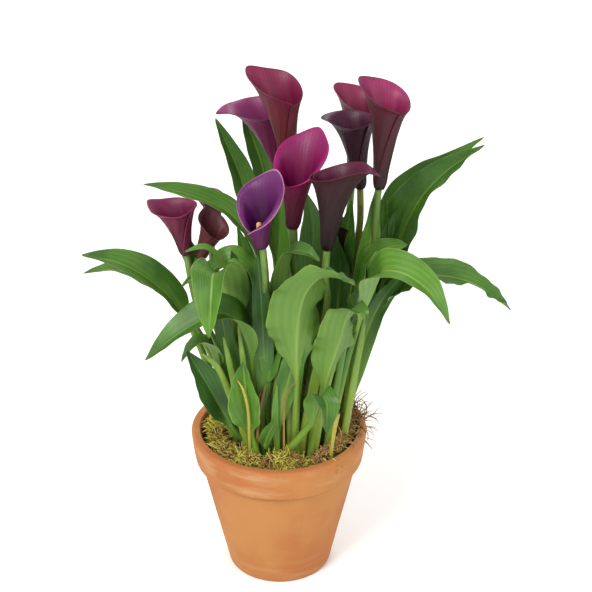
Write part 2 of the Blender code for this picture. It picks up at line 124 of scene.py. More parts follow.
# --- reading the CAD nodes ---------------------------------------------------------------------
@dataclass
class RingStack:
    """A lofted CAD node read as rings of points, from its lowest ring on."""

    node: str
    count: int
    axis: Triple = (0.0, 0.0, 1.0)

    def read(self) -> np.ndarray:
        """Walk the node's mesh ring by ring.

        Returns:
            An array of rings, points and coordinates. Point j of one ring is joined to point j
            of the next.
        """
        work = bmesh.new()
        work.from_mesh(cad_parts[self.node].data)
        bmesh.ops.remove_doubles(work, verts=work.verts, dist=2e-6)
        way = Vector(self.axis)
        ring = sorted(work.verts, key=lambda v: v.co.dot(way))[:self.count]
        seen = set(ring)
        loose = [ring]
        while True:
            follow = {e.other_vert(v) for v in ring for e in v.link_edges} - seen
            if not follow:
                break
            ring = list(follow)
            seen |= follow
            loose.append(ring)
        ordered = [self._hoop(loose[0])]
        for after in loose[1:]:
            ordered.append(self._match(ordered[-1], self._hoop(after)))
        rings = np.array([[v.co[:] for v in one] for one in ordered])
        work.free()
        return rings

    def _hoop(self, ring: list) -> list:
        """Put one ring's points in order round it."""
        inside = set(ring)

        def beside(vert: Any) -> list:
            """List the points next to one along the hoop."""
            return [e.other_vert(vert) for e in vert.link_edges
                    if e.other_vert(vert) in inside
                    and any(any(w not in inside for w in f.verts) for f in e.link_faces)]
        order = [ring[0]]
        while len(order) < len(ring):
            follow = [v for v in beside(order[-1]) if v not in order]
            if not follow:
                raise ValueError(f"{self.node} has a ring that doesn't close")
            order.append(follow[0])
        return order

    @staticmethod
    def _match(before: list, after: list) -> list:
        """Turn a ring so that each point follows the one it is joined to, and not a diagonal's end."""
        count = len(before)
        best = (-1, 0.0)
        found = after
        for one in (after, after[::-1]):
            for shift in range(count):
                trial = one[shift:] + one[:shift]
                joined = sum(any(e.other_vert(a) is b for e in a.link_edges)
                             for a, b in zip(before, trial))
                spread = sum((a.co - b.co).length for a, b in zip(before, trial))
                if (joined, -spread) > best:
                    best = (joined, -spread)
                    found = trial
        return found


def turned_area(ring: np.ndarray) -> np.ndarray:
    """Return the area vector that a closed ring of points goes round."""
    middle = ring.mean(0)
    return np.cross(ring - middle, np.roll(ring, -1, 0) - middle).sum(0) / 2


# --- building pieces ---------------------------------------------------------------------------
class Slot(Enum):
    """The record's material slots."""

    CLAY = "clay"
    SOIL = "soil"
    MOSS = "moss"
    LEAF = "leaf"
    SPATHE = "spathe"
    STEM = "stem"


def add_piece(name: str, work: bmesh.types.BMesh, finishes: Sequence[bpy.types.Material],
              node: Optional[str] = None) -> bpy.types.Object:
    """Turn a bmesh into a piece of the object.

    Args:
        name: the piece's name.
        work: its mesh, which is freed.
        finishes: its materials, in slot order.
        node: the CAD node it stands for, if any.

    Returns:
        The linked object.
    """
    for face in work.faces:
        face.smooth = True
    data = bpy.data.meshes.new(name)
    work.to_mesh(data)
    work.free()
    for one in finishes:
        data.materials.append(one)
    piece = bpy.data.objects.new(name, data)
    bpy.context.scene.collection.objects.link(piece)
    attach(piece, "root")
    if node is not None:
        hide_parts(node)
    log.info("%s: %d faces", name, len(data.polygons))
    return piece


def shaped_grid(table: np.ndarray) -> bmesh.types.BMesh:
    """Start from a flat grid with a UV map and lay it on a table of places.

    Args:
        table: places by column, row and coordinate. Columns run along U and rows along V.

    Returns:
        The shaped bmesh.
    """
    across, along = table.shape[0] - 1, table.shape[1] - 1
    work = bmesh.new()
    work.loops.layers.uv.new("UVMap")
    bmesh.ops.create_grid(work, x_segments=across, y_segments=along, size=0.5, calc_uvs=True)
    for vert in work.verts:
        i = round((vert.co.x + 0.5) * across)
        j = round((vert.co.y + 0.5) * along)
        vert.co = table[i, j]
    return work


def close_tube(work: bmesh.types.BMesh) -> None:
    """Join a rolled grid's seam, close its open ends and turn its faces out."""
    bmesh.ops.remove_doubles(work, verts=work.verts, dist=1e-6)
    bmesh.ops.holes_fill(work, edges=work.edges, sides=0)
    bmesh.ops.recalc_face_normals(work, faces=work.faces)


def settle(piece: bpy.types.Object) -> None:
    """Bake a piece's modifiers into its mesh."""
    bpy.context.view_layer.update()
    shown = piece.evaluated_get(bpy.context.evaluated_depsgraph_get())
    baked = bpy.data.meshes.new_from_object(shown)
    piece.modifiers.clear()
    piece.data = baked


# --- shader graphs -----------------------------------------------------------------------------
class Graph:
    """A shader node tree, with short calls for the nodes that the finishes use."""

    def __init__(self, tree: bpy.types.NodeTree) -> None:
        """Keep the tree.

        Args:
            tree: a material's or a group's node tree.
        """
        self.tree = tree

    def add(self, kind: str, **settings: Any) -> bpy.types.Node:
        """Add one node and set its properties."""
        node = self.tree.nodes.new(kind)
        for key, value in settings.items():
            setattr(node, key, value)
        return node

    def feed(self, target: bpy.types.NodeSocket, value: Any) -> None:
        """Link an output to an input, or set the input to a plain value."""
        if isinstance(value, bpy.types.NodeSocket):
            self.tree.links.new(value, target)
        else:
            target.default_value = value

    def math(self, operation: str, a: Any, b: Any = 0.0, held: bool = False) -> Any:
        """Return the result of one sum.

        Args:
            operation: the node's operation.
            a: first value.
            b: second value.
            held: whether the result is kept between 0 and 1.

        Returns:
            The result's socket.
        """
        node = self.add("ShaderNodeMath", operation=operation, use_clamp=held)
        self.feed(node.inputs[0], a)
        self.feed(node.inputs[1], b)
        return node.outputs[0]

    def coords(self) -> Any:
        """Return the socket of the Object coordinates."""
        return self.add("ShaderNodeTexCoord").outputs["Object"]

    def surface(self) -> tuple[Any, Any]:
        """Return the sockets of U and V in the piece's own UV map."""
        uv = self.add("ShaderNodeUVMap", uv_map="UVMap")
        split = self.add("ShaderNodeSeparateXYZ")
        self.feed(split.inputs[0], uv.outputs[0])
        return split.outputs[0], split.outputs[1]

    def stretch(self, vector: Any, scale: Triple) -> Any:
        """Return the socket of a vector scaled along each axis."""
        node = self.add("ShaderNodeMapping")
        node.inputs["Scale"].default_value = scale
        self.feed(node.inputs["Vector"], vector)
        return node.outputs[0]

    def step(self, value: Any, low: Any, high: Any, to_low: float = 0.0,
             to_high: float = 1.0) -> Any:
        """Ease a value from one range to another.

        Args:
            value: the value's socket.
            low: value or socket where the step starts.
            high: value or socket where it ends.
            to_low: result at the start.
            to_high: result at the end.

        Returns:
            The result's socket.
        """
        node = self.add("ShaderNodeMapRange", interpolation_type="SMOOTHSTEP")
        self.feed(node.inputs["Value"], value)
        for key, number in (("From Min", low), ("From Max", high), ("To Min", to_low),
                            ("To Max", to_high)):
            self.feed(node.inputs[key], number)
        return node.outputs["Result"]

    def blend(self, share: Any, a: Any, b: Any, most: Optional[float] = None) -> Any:
        """Mix two colours.

        Args:
            share: how much of b.
            a: first colour.
            b: second colour.
            most: how much of b a full share gives, if not all of it.

        Returns:
            The mixed colour's socket.
        """
        if most is not None:
            share = self.math("MULTIPLY", share, most)
        node = self.add("ShaderNodeMix", data_type="RGBA", blend_type="MIX")
        self.feed(node.inputs[0], share)
        self.feed(node.inputs[6], a)
        self.feed(node.inputs[7], b)
        return node.outputs[2]

    def ramp(self, value: Any, stops: Sequence[tuple[float, Color]]) -> Any:
        """Read a colour ramp with the given stops."""
        node = self.add("ShaderNodeValToRGB")
        ramp = node.color_ramp
        while len(ramp.elements) < len(stops):
            ramp.elements.new(0.5)
        for element, (place, color) in zip(ramp.elements, stops):
            element.position = place
            element.color = color
        self.feed(node.inputs[0], value)
        return node.outputs[0]

    def group(self, tree: bpy.types.NodeTree, **inputs: Any) -> bpy.types.Node:
        """Place a node group and feed its inputs by name, with _ for a space."""
        node = self.add("ShaderNodeGroup", node_tree=tree)
        for key, value in inputs.items():
            self.feed(node.inputs[key.replace("_", " ")], value)
        return node

    def bump(self, height: Any, strength: float, distance: float) -> Any:
        """Turn a height into a normal.

        Args:
            height: the height's socket.
            strength: the bump's strength.
            distance: height of a full step, in metres.

        Returns:
            The normal's socket.
        """
        node = self.add("ShaderNodeBump")
        node.inputs["Strength"].default_value = strength
        node.inputs["Distance"].default_value = distance
        self.feed(node.inputs["Height"], height)
        return node.outputs[0]


class Effects:
    """Shader node groups that several finishes share, each built once."""

    _made: dict[str, bpy.types.NodeTree] = {}

    @classmethod
    def _open(cls, name: str, inputs: Sequence[tuple[str, str, Any]],
              outputs: Sequence[tuple[str, str]]) -> tuple[Graph, Any, Any]:
        """Start a group with named inputs and outputs.

        Args:
            name: the group's name.
            inputs: name, socket type and first value of each input.
            outputs: name and socket type of each output.

        Returns:
            The group's graph, its input node and its output node.
        """
        tree = bpy.data.node_groups.new(name, "ShaderNodeTree")
        for label, kind, value in inputs:
            socket = tree.interface.new_socket(name=label, in_out="INPUT", socket_type=kind)
            if value is not None:
                socket.default_value = value
        for label, kind in outputs:
            tree.interface.new_socket(name=label, in_out="OUTPUT", socket_type=kind)
        graph = Graph(tree)
        cls._made[name] = tree
        return graph, graph.add("NodeGroupInput"), graph.add("NodeGroupOutput")

    @classmethod
    def mottle(cls) -> bpy.types.NodeTree:
        """Return the group of soft uneven patches, as a mask and a raw value."""
        if "mottle" in cls._made:
            return cls._made["mottle"]
        graph, source, sink = cls._open(
            "mottle",
            [("Vector", "NodeSocketVector", None), ("Scale", "NodeSocketFloat", 60.0),
             ("Detail", "NodeSocketFloat", 4.0), ("Low", "NodeSocketFloat", 0.4),
             ("High", "NodeSocketFloat", 0.6)],
            [("Mask", "NodeSocketFloat"), ("Value", "NodeSocketFloat")])
        cloud = graph.add("ShaderNodeTexNoise")
        for label in ("Vector", "Scale", "Detail"):
            graph.feed(cloud.inputs[label], source.outputs[label])
        mask = graph.step(cloud.outputs[0], source.outputs["Low"], source.outputs["High"])
        graph.feed(sink.inputs["Mask"], mask)
        graph.feed(sink.inputs["Value"], cloud.outputs[0])
        return cls._made["mottle"]

    @classmethod
    def veins(cls) -> bpy.types.NodeTree:
        """Return the group of fine lines that run along a blade and lean to its margin."""
        if "veins" in cls._made:
            return cls._made["veins"]
        graph, source, sink = cls._open(
            "veins",
            [("Across", "NodeSocketFloat", 0.0), ("Along", "NodeSocketFloat", 0.0),
             ("Wander", "NodeSocketFloat", 0.0), ("Lines", "NodeSocketFloat", 12.0),
             ("Lean", "NodeSocketFloat", 4.0)],
            [("Line", "NodeSocketFloat"), ("Band", "NodeSocketFloat")])
        sideways = graph.math("MULTIPLY", source.outputs["Across"], source.outputs["Lines"])
        forward = graph.math("MULTIPLY", source.outputs["Along"], source.outputs["Lean"])
        place = graph.math("SUBTRACT", sideways, forward)
        place = graph.math("ADD", place, source.outputs["Wander"])
        wave = graph.math("SINE", graph.math("MULTIPLY", place, math.tau))
        graph.feed(sink.inputs["Line"], graph.step(wave, 0.55, 1.0))
        slow = graph.math("SINE", graph.math("MULTIPLY", place, math.tau / 3.7))
        graph.feed(sink.inputs["Band"], graph.step(slow, -1.0, 1.0))
        return cls._made["veins"]


def new_material(name: str) -> tuple[bpy.types.Material, Graph, Any]:
    """Make a material with an empty Principled shader.

    Args:
        name: the material's name.

    Returns:
        The material, its graph and its Principled node.
    """
    made = bpy.data.materials.new(name)
    made.use_nodes = True
    graph = Graph(made.node_tree)
    return made, graph, made.node_tree.nodes["Principled BSDF"]


# --- finishes ----------------------------------------------------------------------------------
@dataclass(frozen=True)
class LeafFinish:
    """Skin of a leaf: green blade, paler back, light midrib and margin, yellow-green stalk."""

    name: str
    upper: Color
    deep: Color
    lower: Color
    rib: Color
    stalk: Color
    foot: Color
    tip: Color
    roughness: float = 0.37

    def make(self) -> bpy.types.Material:
        """Build the material.

        Returns:
            A material that reads the leaf's own UV map: U goes round the blade, upper side
            first, and V from root to tip.
        """
        made, g, shader = new_material(self.name)
        u, v = g.surface()
        coords = g.coords()
        back = g.math("GREATER_THAN", u, 0.5)
        fold = g.math("ABSOLUTE", g.math("SUBTRACT", g.math("MULTIPLY", u, 4.0), 2.0))
        reach = g.step(g.math("ABSOLUTE", g.math("SUBTRACT", fold, 1.0)), 0.0, 1.0)
        broad = g.group(Effects.mottle(), Vector=coords, Scale=22.0, Detail=3.0, Low=0.36, High=0.64)
        fine = g.group(Effects.mottle(), Vector=coords, Scale=420.0, Detail=3.0, Low=0.3, High=0.7)
        lines = g.group(Effects.veins(), Across=reach, Along=v,
                        Wander=g.math("MULTIPLY", broad.outputs["Value"], 1.3), Lines=13.0, Lean=16.0)
        face = g.blend(broad.outputs["Mask"], self.upper, self.deep)
        face = g.blend(lines.outputs["Band"], face, self.deep, 0.45)
        face = g.blend(lines.outputs["Line"], face, self.rib, 0.38)
        under = g.blend(lines.outputs["Line"], self.lower, self.upper, 0.50)
        under = g.blend(lines.outputs["Band"], under, self.deep, 0.28)
        under = g.blend(broad.outputs["Mask"], under, self.upper, 0.45)
        skin = g.blend(back, face, under)
        keel = g.math("MULTIPLY", g.step(reach, 0.015, 0.075, 1.0, 0.0), 0.42)
        skin = g.blend(keel, skin, self.rib)
        glow = g.math("MULTIPLY", g.step(reach, 0.02, 0.5, 1.0, 0.0), g.step(v, 0.35, 0.75, 0.45, 0.0))
        skin = g.blend(glow, skin, self.rib)
        margin = g.math("MULTIPLY", g.step(reach, 0.955, 0.995), 0.5)
        skin = g.blend(margin, skin, self.rib)
        stalk = g.blend(g.step(v, 0.05, 0.34), self.foot, self.stalk)
        stalk = g.blend(fine.outputs["Mask"], stalk, self.upper, 0.2)
        skin = g.blend(g.step(v, 0.30, 0.56, 1.0, 0.0), skin, stalk)
        dry = g.step(g.math("ADD", v, g.math("MULTIPLY", broad.outputs["Value"], 0.012)), 0.990, 1.002)
        skin = g.blend(dry, skin, self.tip)
        skin = g.blend(fine.outputs["Mask"], skin, self.lower, 0.06)
        g.feed(shader.inputs["Base Color"], skin)
        rough = g.math("ADD", g.math("MULTIPLY", back, 0.14),
                       g.step(fine.outputs["Value"], 0.3, 0.7, self.roughness - 0.05,
                              self.roughness + 0.07))
        g.feed(shader.inputs["Roughness"], rough)
        height = g.math("ADD", g.math("MULTIPLY", lines.outputs["Line"], -0.6),
                        g.math("MULTIPLY", fine.outputs["Value"], 0.7))
        g.feed(shader.inputs["Normal"], g.bump(height, 0.45, 0.00045))
        shader.inputs["Specular IOR Level"].default_value = 0.34
        return made


@dataclass(frozen=True)
class PetalFinish:
    """One side of a rolled flower: colour from throat to rim, fine veins and an edge line."""

    name: str
    base: Color
    body: Color
    rim: Color
    vein: Color
    edge: Color
    vein_share: float = 0.35
    roughness: float = 0.50
    sheen: float = 0.02

    def make(self) -> bpy.types.Material:
        """Build the material.

        Returns:
            A material that reads the flower's own UV map: U goes round the roll and V from
            the throat to the rim.
        """
        made, g, shader = new_material(self.name)
        u, v = g.surface()
        coords = g.coords()
        broad = g.group(Effects.mottle(), Vector=coords, Scale=55.0, Detail=3.0, Low=0.34, High=0.66)
        fine = g.group(Effects.mottle(), Vector=coords, Scale=900.0, Detail=3.0, Low=0.3, High=0.7)
        lines = g.group(Effects.veins(), Across=u, Along=v,
                        Wander=g.math("MULTIPLY", broad.outputs["Value"], 1.6), Lines=46.0, Lean=1.5)
        height_share = g.math("ADD", v, g.math("MULTIPLY",
                              g.math("SUBTRACT", broad.outputs["Value"], 0.5), 0.28))
        skin = g.ramp(height_share, [(0.04, self.base), (0.58, self.body), (0.99, self.rim)])
        skin = g.blend(lines.outputs["Band"], skin, self.vein, self.vein_share * 0.4)
        skin = g.blend(broad.outputs["Mask"], skin, self.vein, 0.30)
        skin = g.blend(lines.outputs["Line"], skin, self.vein, self.vein_share)
        skin = g.blend(fine.outputs["Mask"], skin, self.rim, 0.08)
        ends = g.math("ABSOLUTE", g.math("SUBTRACT", g.math("MULTIPLY", u, 2.0), 1.0))
        border = g.math("MAXIMUM", g.step(v, 0.966, 0.995), g.step(ends, 0.975, 0.998))
        skin = g.blend(border, skin, self.edge, 0.8)
        g.feed(shader.inputs["Base Color"], skin)
        rough = g.step(fine.outputs["Value"], 0.3, 0.7, self.roughness - 0.06, self.roughness + 0.08)
        g.feed(shader.inputs["Roughness"], rough)
        height = g.math("ADD", g.math("MULTIPLY", lines.outputs["Line"], 0.8),
                        g.math("MULTIPLY", fine.outputs["Value"], 0.5))
        g.feed(shader.inputs["Normal"], g.bump(height, 0.30, 0.0003))
        shader.inputs["Specular IOR Level"].default_value = 0.26
        shader.inputs["Sheen Weight"].default_value = self.sheen
        shader.inputs["Sheen Roughness"].default_value = 0.35
        shader.inputs["Sheen Tint"].default_value = self.rim
        return made


@dataclass(frozen=True)
class StalkFinish:
    """Skin of a flower stem: green with fine lengthwise lines and reddish freckles."""

    name: str
    top: Color
    foot: Color
    freckle: Color
    freckles: float

    def make(self) -> bpy.types.Material:
        """Build the material, which reads the stalk's own UV map."""
        made, g, shader = new_material(self.name)
        u, v = g.surface()
        coords = g.coords()
        longer = g.stretch(coords, (1.0, 1.0, 0.22))
        spots = g.group(Effects.mottle(), Vector=longer, Scale=330.0, Detail=4.0, Low=0.50, High=0.62)
        lines = g.group(Effects.veins(), Across=u, Along=v, Wander=0.0, Lines=11.0, Lean=0.6)
        skin = g.blend(g.step(v, 0.0, 0.8), self.foot, self.top)
        skin = g.blend(lines.outputs["Line"], skin, self.foot, 0.25)
        amount = g.math("MULTIPLY", spots.outputs["Mask"], g.step(v, 0.35, 0.95, 0.15, self.freckles))
        skin = g.blend(amount, skin, self.freckle)
        g.feed(shader.inputs["Base Color"], skin)
        g.feed(shader.inputs["Roughness"], g.step(spots.outputs["Value"], 0.3, 0.7, 0.38, 0.52))
        height = g.math("ADD", g.math("MULTIPLY", lines.outputs["Line"], 0.7),
                        g.math("MULTIPLY", spots.outputs["Value"], 0.5))
        g.feed(shader.inputs["Normal"], g.bump(height, 0.3, 0.0003))
        return made


@dataclass(frozen=True)
class SpadixFinish:
    """Skin of the flower's finger: warm yellow, with a redder foot and dusty florets."""

    name: str = "spadix_pollen"
    low: Color = tint(196, 112, 52)
    high: Color = tint(244, 186, 104)
    dust: Color = tint(252, 222, 150)

    def make(self) -> bpy.types.Material:
        """Build the material."""
        made, g, shader = new_material(self.name)
        _, v = g.surface()
        coords = g.coords()
        dust = g.group(Effects.mottle(), Vector=coords, Scale=1100.0, Detail=2.0, Low=0.45, High=0.62)
        skin = g.blend(g.step(v, 0.1, 0.6), self.low, self.high)
        skin = g.blend(dust.outputs["Mask"], skin, self.dust, 0.6)
        g.feed(shader.inputs["Base Color"], skin)
        g.feed(shader.inputs["Normal"], g.bump(dust.outputs["Value"], 0.5, 0.0004))
        shader.inputs["Roughness"].default_value = 0.75
        return made


@dataclass(frozen=True)
class ClayFinish:
    """Fired clay: warm orange with a chalky bloom on the band, turning lines and fine pores, plus painted
    shade under the band's step, inside the rim and in the pores.
    """

    name: str = "fired_clay"
    body: Color = tint(206, 140, 78)
    warm: Color = tint(196, 118, 62)
    bloom: Color = tint(220, 176, 128)
    # Painted shade: the dark brown laid under the band's step, inside the rim and in the pores.
    painted_shade: Color = tint(132, 76, 42)

    def make(self, band_foot: float, height: float) -> bpy.types.Material:
        """Build the material.

        Args:
            band_foot: height where the pot's band starts.
            height: height of the pot.

        Returns:
            The material, which reads Object coordinates.
        """
        made, g, shader = new_material(self.name)
        coords = g.coords()
        split = g.add("ShaderNodeSeparateXYZ")
        g.feed(split.inputs[0], coords)
        x, y, z = split.outputs
        away = g.math("SQRT", g.math("ADD", g.math("MULTIPLY", x, x), g.math("MULTIPLY", y, y)))
        clouds = g.group(Effects.mottle(), Vector=coords, Scale=14.0, Detail=4.0, Low=0.38, High=0.66)
        flat = g.stretch(coords, (1.0, 1.0, 5.0))
        streaks = g.group(Effects.mottle(), Vector=flat, Scale=26.0, Detail=5.0, Low=0.45, High=0.72)
        grit = g.group(Effects.mottle(), Vector=coords, Scale=900.0, Detail=3.0, Low=0.35, High=0.65)
        pores = g.add("ShaderNodeTexVoronoi")
        g.feed(pores.inputs["Vector"], coords)
        pores.inputs["Scale"].default_value = 230.0
        pits = g.step(pores.outputs["Distance"], 0.05, 0.16, 1.0, 0.0)
        pits = g.math("MULTIPLY", pits, g.group(Effects.mottle(), Vector=coords, Scale=60.0,
                                               Detail=2.0, Low=0.55, High=0.62).outputs["Mask"])
        rings = g.math("SINE", g.math("MULTIPLY", z, 2600.0))
        skin = g.blend(clouds.outputs["Mask"], self.body, self.warm)
        band = g.step(z, band_foot - 0.001, band_foot + 0.004)
        lip = g.step(z, height - 0.007, height - 0.001)
        chalk = g.math("MULTIPLY", g.math("MULTIPLY", streaks.outputs["Mask"], band), 0.75)
        skin = g.blend(chalk, skin, self.bloom)
        skin = g.blend(band, skin, self.warm, 0.22)
        skin = g.blend(lip, skin, self.warm, 0.45)
        low_dust = g.math("MULTIPLY", g.step(z, 0.0, 0.05, 0.35, 0.0), streaks.outputs["Mask"])
        skin = g.blend(low_dust, skin, self.bloom)
        # Painted shade in a narrow strip just under the band's step, where the overhang shades the wall.
        seam = g.math("MULTIPLY", g.step(z, band_foot - 0.006, band_foot - 0.001),
                      g.step(z, band_foot, band_foot + 0.0012, 1.0, 0.0))
        skin = g.blend(seam, skin, self.painted_shade, 0.35)
        # Painted shade on the inner wall of the rim, above the band's foot.
        inner = g.math("MULTIPLY", g.step(away, 0.0700, 0.0712, 1.0, 0.0),
                       g.step(z, band_foot, band_foot + 0.004))
        skin = g.blend(inner, skin, self.painted_shade, 0.45)
        skin = g.blend(grit.outputs["Mask"], skin, self.bloom, 0.12)
        # Painted shade: the pores are darkened here, as well as bumped in below.
        skin = g.blend(pits, skin, self.painted_shade, 0.5)
        g.feed(shader.inputs["Base Color"], skin)
        g.feed(shader.inputs["Roughness"], g.step(grit.outputs["Value"], 0.3, 0.7, 0.78, 0.92))
        height_mix = g.math("ADD", g.math("MULTIPLY", grit.outputs["Value"], 0.6),
                            g.math("MULTIPLY", rings, 0.10))
        height_mix = g.math("SUBTRACT", height_mix, g.math("MULTIPLY", pits, 0.9))
        g.feed(shader.inputs["Normal"], g.bump(height_mix, 0.45, 0.0004))
        shader.inputs["Specular IOR Level"].default_value = 0.25
        return made


@dataclass(frozen=True)
class LooseFinish:
    """Loose natural stuff, such as soil and moss: a run of colours read from each bit's own tone."""

    name: str
    stops: tuple[tuple[float, Color], ...]
    scale: float
    depth: float = 0.0006
    roughness: float = 0.95

    def make(self) -> bpy.types.Material:
        """Build the material, which reads the piece's tone attribute."""
        made, g, shader = new_material(self.name)
        coords = g.coords()
        tone = g.add("ShaderNodeAttribute", attribute_name="tone").outputs["Fac"]
        crumbs = g.group(Effects.mottle(), Vector=coords, Scale=self.scale, Detail=5.0, Low=0.3, High=0.7)
        shift = g.math("MULTIPLY", g.math("SUBTRACT", crumbs.outputs["Value"], 0.5), 0.5)
        skin = g.ramp(g.math("ADD", tone, shift, held=True), self.stops)
        g.feed(shader.inputs["Base Color"], skin)
        g.feed(shader.inputs["Roughness"], g.step(crumbs.outputs["Value"], 0.3, 0.7,
                                                  self.roughness - 0.12, self.roughness))
        g.feed(shader.inputs["Normal"], g.bump(crumbs.outputs["Value"], 0.7, self.depth))
        shader.inputs["Specular IOR Level"].default_value = 0.2
        return made


POTTING_SOIL = LooseFinish("potting_soil", scale=260.0, stops=(
    (0.0, tint(22, 16, 12)), (0.4, tint(44, 32, 24)), (0.75, tint(84, 62, 44)), (1.0, tint(120, 96, 70))))
# The darkest stop, read by tones near 0, gives the moss body: painted shade for the gaps between threads.
MOSS_THREADS = LooseFinish("moss_threads", scale=300.0, depth=0.0003, stops=(
    (0.0, tint(34, 24, 12)), (0.22, tint(228, 180, 118)), (0.45, tint(150, 112, 50)),
    (0.7, tint(212, 200, 72)), (1.0, tint(246, 240, 132))))


class LeafTone(Enum):
    """How green a leaf is."""

    MID = LeafFinish("leaf_mid", upper=tint(84, 138, 38), deep=tint(44, 96, 26),
                     lower=tint(106, 146, 58), rib=tint(146, 184, 74), stalk=tint(122, 162, 48),
                     foot=tint(150, 176, 62), tip=tint(84, 66, 36))
    FRESH = LeafFinish("leaf_fresh", upper=tint(100, 156, 44), deep=tint(58, 114, 30),
                       lower=tint(142, 180, 92), rib=tint(170, 204, 92), stalk=tint(138, 174, 56),
                       foot=tint(162, 186, 70), tip=tint(110, 92, 48))
    DARK = LeafFinish("leaf_dark", upper=tint(58, 110, 36), deep=tint(28, 70, 22),
                      lower=tint(92, 132, 58), rib=tint(112, 156, 62), stalk=tint(92, 138, 44),
                      foot=tint(120, 154, 56), tip=tint(60, 50, 30))
    PALE = LeafFinish("leaf_pale", upper=tint(98, 142, 48), deep=tint(66, 116, 36),
                      lower=tint(108, 148, 58), rib=tint(156, 188, 84), stalk=tint(130, 166, 58),
                      foot=tint(152, 180, 66), tip=tint(110, 96, 54))


# --- leaves ------------------------------------------------------------------------------------
LEAF_POINTS = 8     # points in each of a leaf's rings; opposite points are 4 apart
LEAF_RINGS = 14     # rings from a leaf's foot to its tip
STALK_RINGS = 5     # rings of the stalk, before the blade opens
BLADE_RINGS = 8     # steps from ring to ring in the blade
WIDE_RING = 9       # a ring where the blade is broad
WAVE_START = 5.5    # place, in rings, from which the margin may wave


@dataclass
class Leaf:
    """One leaf: a stalk that opens into a grooved blade with a waved margin."""

    node: str
    tone: LeafTone = LeafTone.MID
    wave: float = 0.0010
    waves: float = 2.5
    phase: float = 0.0
    crease: float = 0.0012
    curl: float = 0.0
    half_columns: int = 22
    rows_per_ring: int = 6
    thickness: float = 0.0008
    far_phase: float = 1.9
    ripple: float = 0.35
    ripple_pace: float = 2.7
    crease_width: float = 0.0035
    groove: float = 0.0004
    groove_width: float = 0.0012
    keel: float = 0.0011
    keel_width: float = 0.0014

    def rings(self) -> np.ndarray:
        """Read the node's rings, turned so that point 0 and 4 are the margins and 2 is on top.

        Returns:
            Rings by point and coordinate.
        """
        stack = RingStack(self.node, LEAF_POINTS).read()
        if np.dot(turned_area(stack[0]), (0.0, 0.0, 1.0)) < 0:
            stack = stack[:, ::-1]
        broad = stack[WIDE_RING]
        spans = [np.linalg.norm(broad[j] - broad[j + 4]) for j in range(4)]
        turned = np.roll(stack, -int(np.argmax(spans)), axis=1)
        broad = turned[WIDE_RING]
        middle = (broad[0] + broad[4]) / 2
        if np.linalg.norm(middle - broad[2]) > np.linalg.norm(middle - broad[6]):
            turned = np.roll(turned, -4, axis=1)
        return turned

    def lift(self, rows: np.ndarray, side: np.ndarray, half: np.ndarray) -> np.ndarray:
        """Work out how far the blade stands off a smooth sheet: its waves, crease and curl.

        Args:
            rows: places along the leaf, in rings.
            side: places across it, from -1 at one margin to 1 at the other.
            half: half the leaf's width at each row.

        Returns:
            Heights by place across and row along.
        """
        blade = np.clip((rows - STALK_RINGS) / BLADE_RINGS, 0, 1)[None, :]
        far = np.abs(side)[:, None]
        behind = np.where(side < 0, self.far_phase, 0.0)[:, None]
        swing = np.sin(math.tau * self.waves * blade + self.phase + behind)
        quick = np.sin(math.tau * self.waves * self.ripple_pace * blade + 2.1 * self.phase)
        fold = np.exp(-(far * half[None, :] / self.crease_width) ** 2)
        lift = self.wave * far ** 2.2 * swing * np.sin(math.pi * blade) ** 0.6
        lift += self.wave * self.ripple * far ** 3 * quick
        lift -= self.crease * fold * (1 - blade) ** 0.5
        lift += self.curl * far ** 2 * ease((blade - 0.5) / 0.5)
        return lift * ease((rows - WAVE_START) / 2.0)[None, :]

    def table(self) -> np.ndarray:
        """Work out where the leaf's skin lies.

        Returns:
            Places by column round the leaf and row along it.
        """
        stack = self.rings()
        rows = np.linspace(0, len(stack) - 1, (len(stack) - 1) * self.rows_per_ring + 1)
        fine = spline(stack, rows)
        columns = np.linspace(0, 1, 2 * self.half_columns + 1)
        tube = spline(fine.transpose(1, 0, 2), columns * LEAF_POINTS, closed=True)
        blade = np.clip((rows - STALK_RINGS) / BLADE_RINGS, 0, 1)
        flat = ease((rows - STALK_RINGS) / 2.0)
        mids = np.stack([fine[:, 0], (fine[:, 1] + fine[:, 7]) / 2, (fine[:, 2] + fine[:, 6]) / 2,
                         (fine[:, 3] + fine[:, 5]) / 2, fine[:, 4]])
        even = np.linspace(-1, 1, self.half_columns + 1)
        side = np.sign(even) * ease(np.abs(even))
        sheet = spline(mids, (side + 1) * 2)
        normal = unit(np.cross(np.gradient(sheet, axis=0), np.gradient(sheet, axis=1)))
        half = np.linalg.norm(fine[:, 4] - fine[:, 0], axis=1) / 2
        far = np.abs(side)[:, None]
        sheet = sheet + normal * self.lift(rows, side, half)[..., None]
        body = self.thickness / 2 * np.sqrt(np.maximum(1 - far ** 6, 0.0)) * (1.25 - 0.75 * blade)
        near = far * half[None, :]
        groove = self.groove * np.exp(-(near / self.groove_width) ** 2) * (1 - blade) ** 0.6
        keel = self.keel * np.exp(-(near / self.keel_width) ** 2) * (1 - blade) ** 0.8
        over = sheet + normal * (body - groove)[..., None]
        under = sheet - normal * (body + keel)[..., None]
        skin = np.concatenate([over, under[::-1][1:]])
        return tube * (1 - flat)[None, :, None] + skin * flat[None, :, None]

    def build(self, finish: bpy.types.Material) -> bpy.types.Object:
        """Build the leaf in place of its CAD node.

        Args:
            finish: the leaf's material.

        Returns:
            The finished piece.
        """
        table = self.table()
        table[:, -1] = table[:, -1].mean(0)
        work = shaped_grid(table)
        close_tube(work)
        return add_piece(self.node + "_skin", work, [finish], self.stands_for())

    def stands_for(self) -> Optional[str]:
        """Return the CAD node that the leaf stands for."""
        return self.node


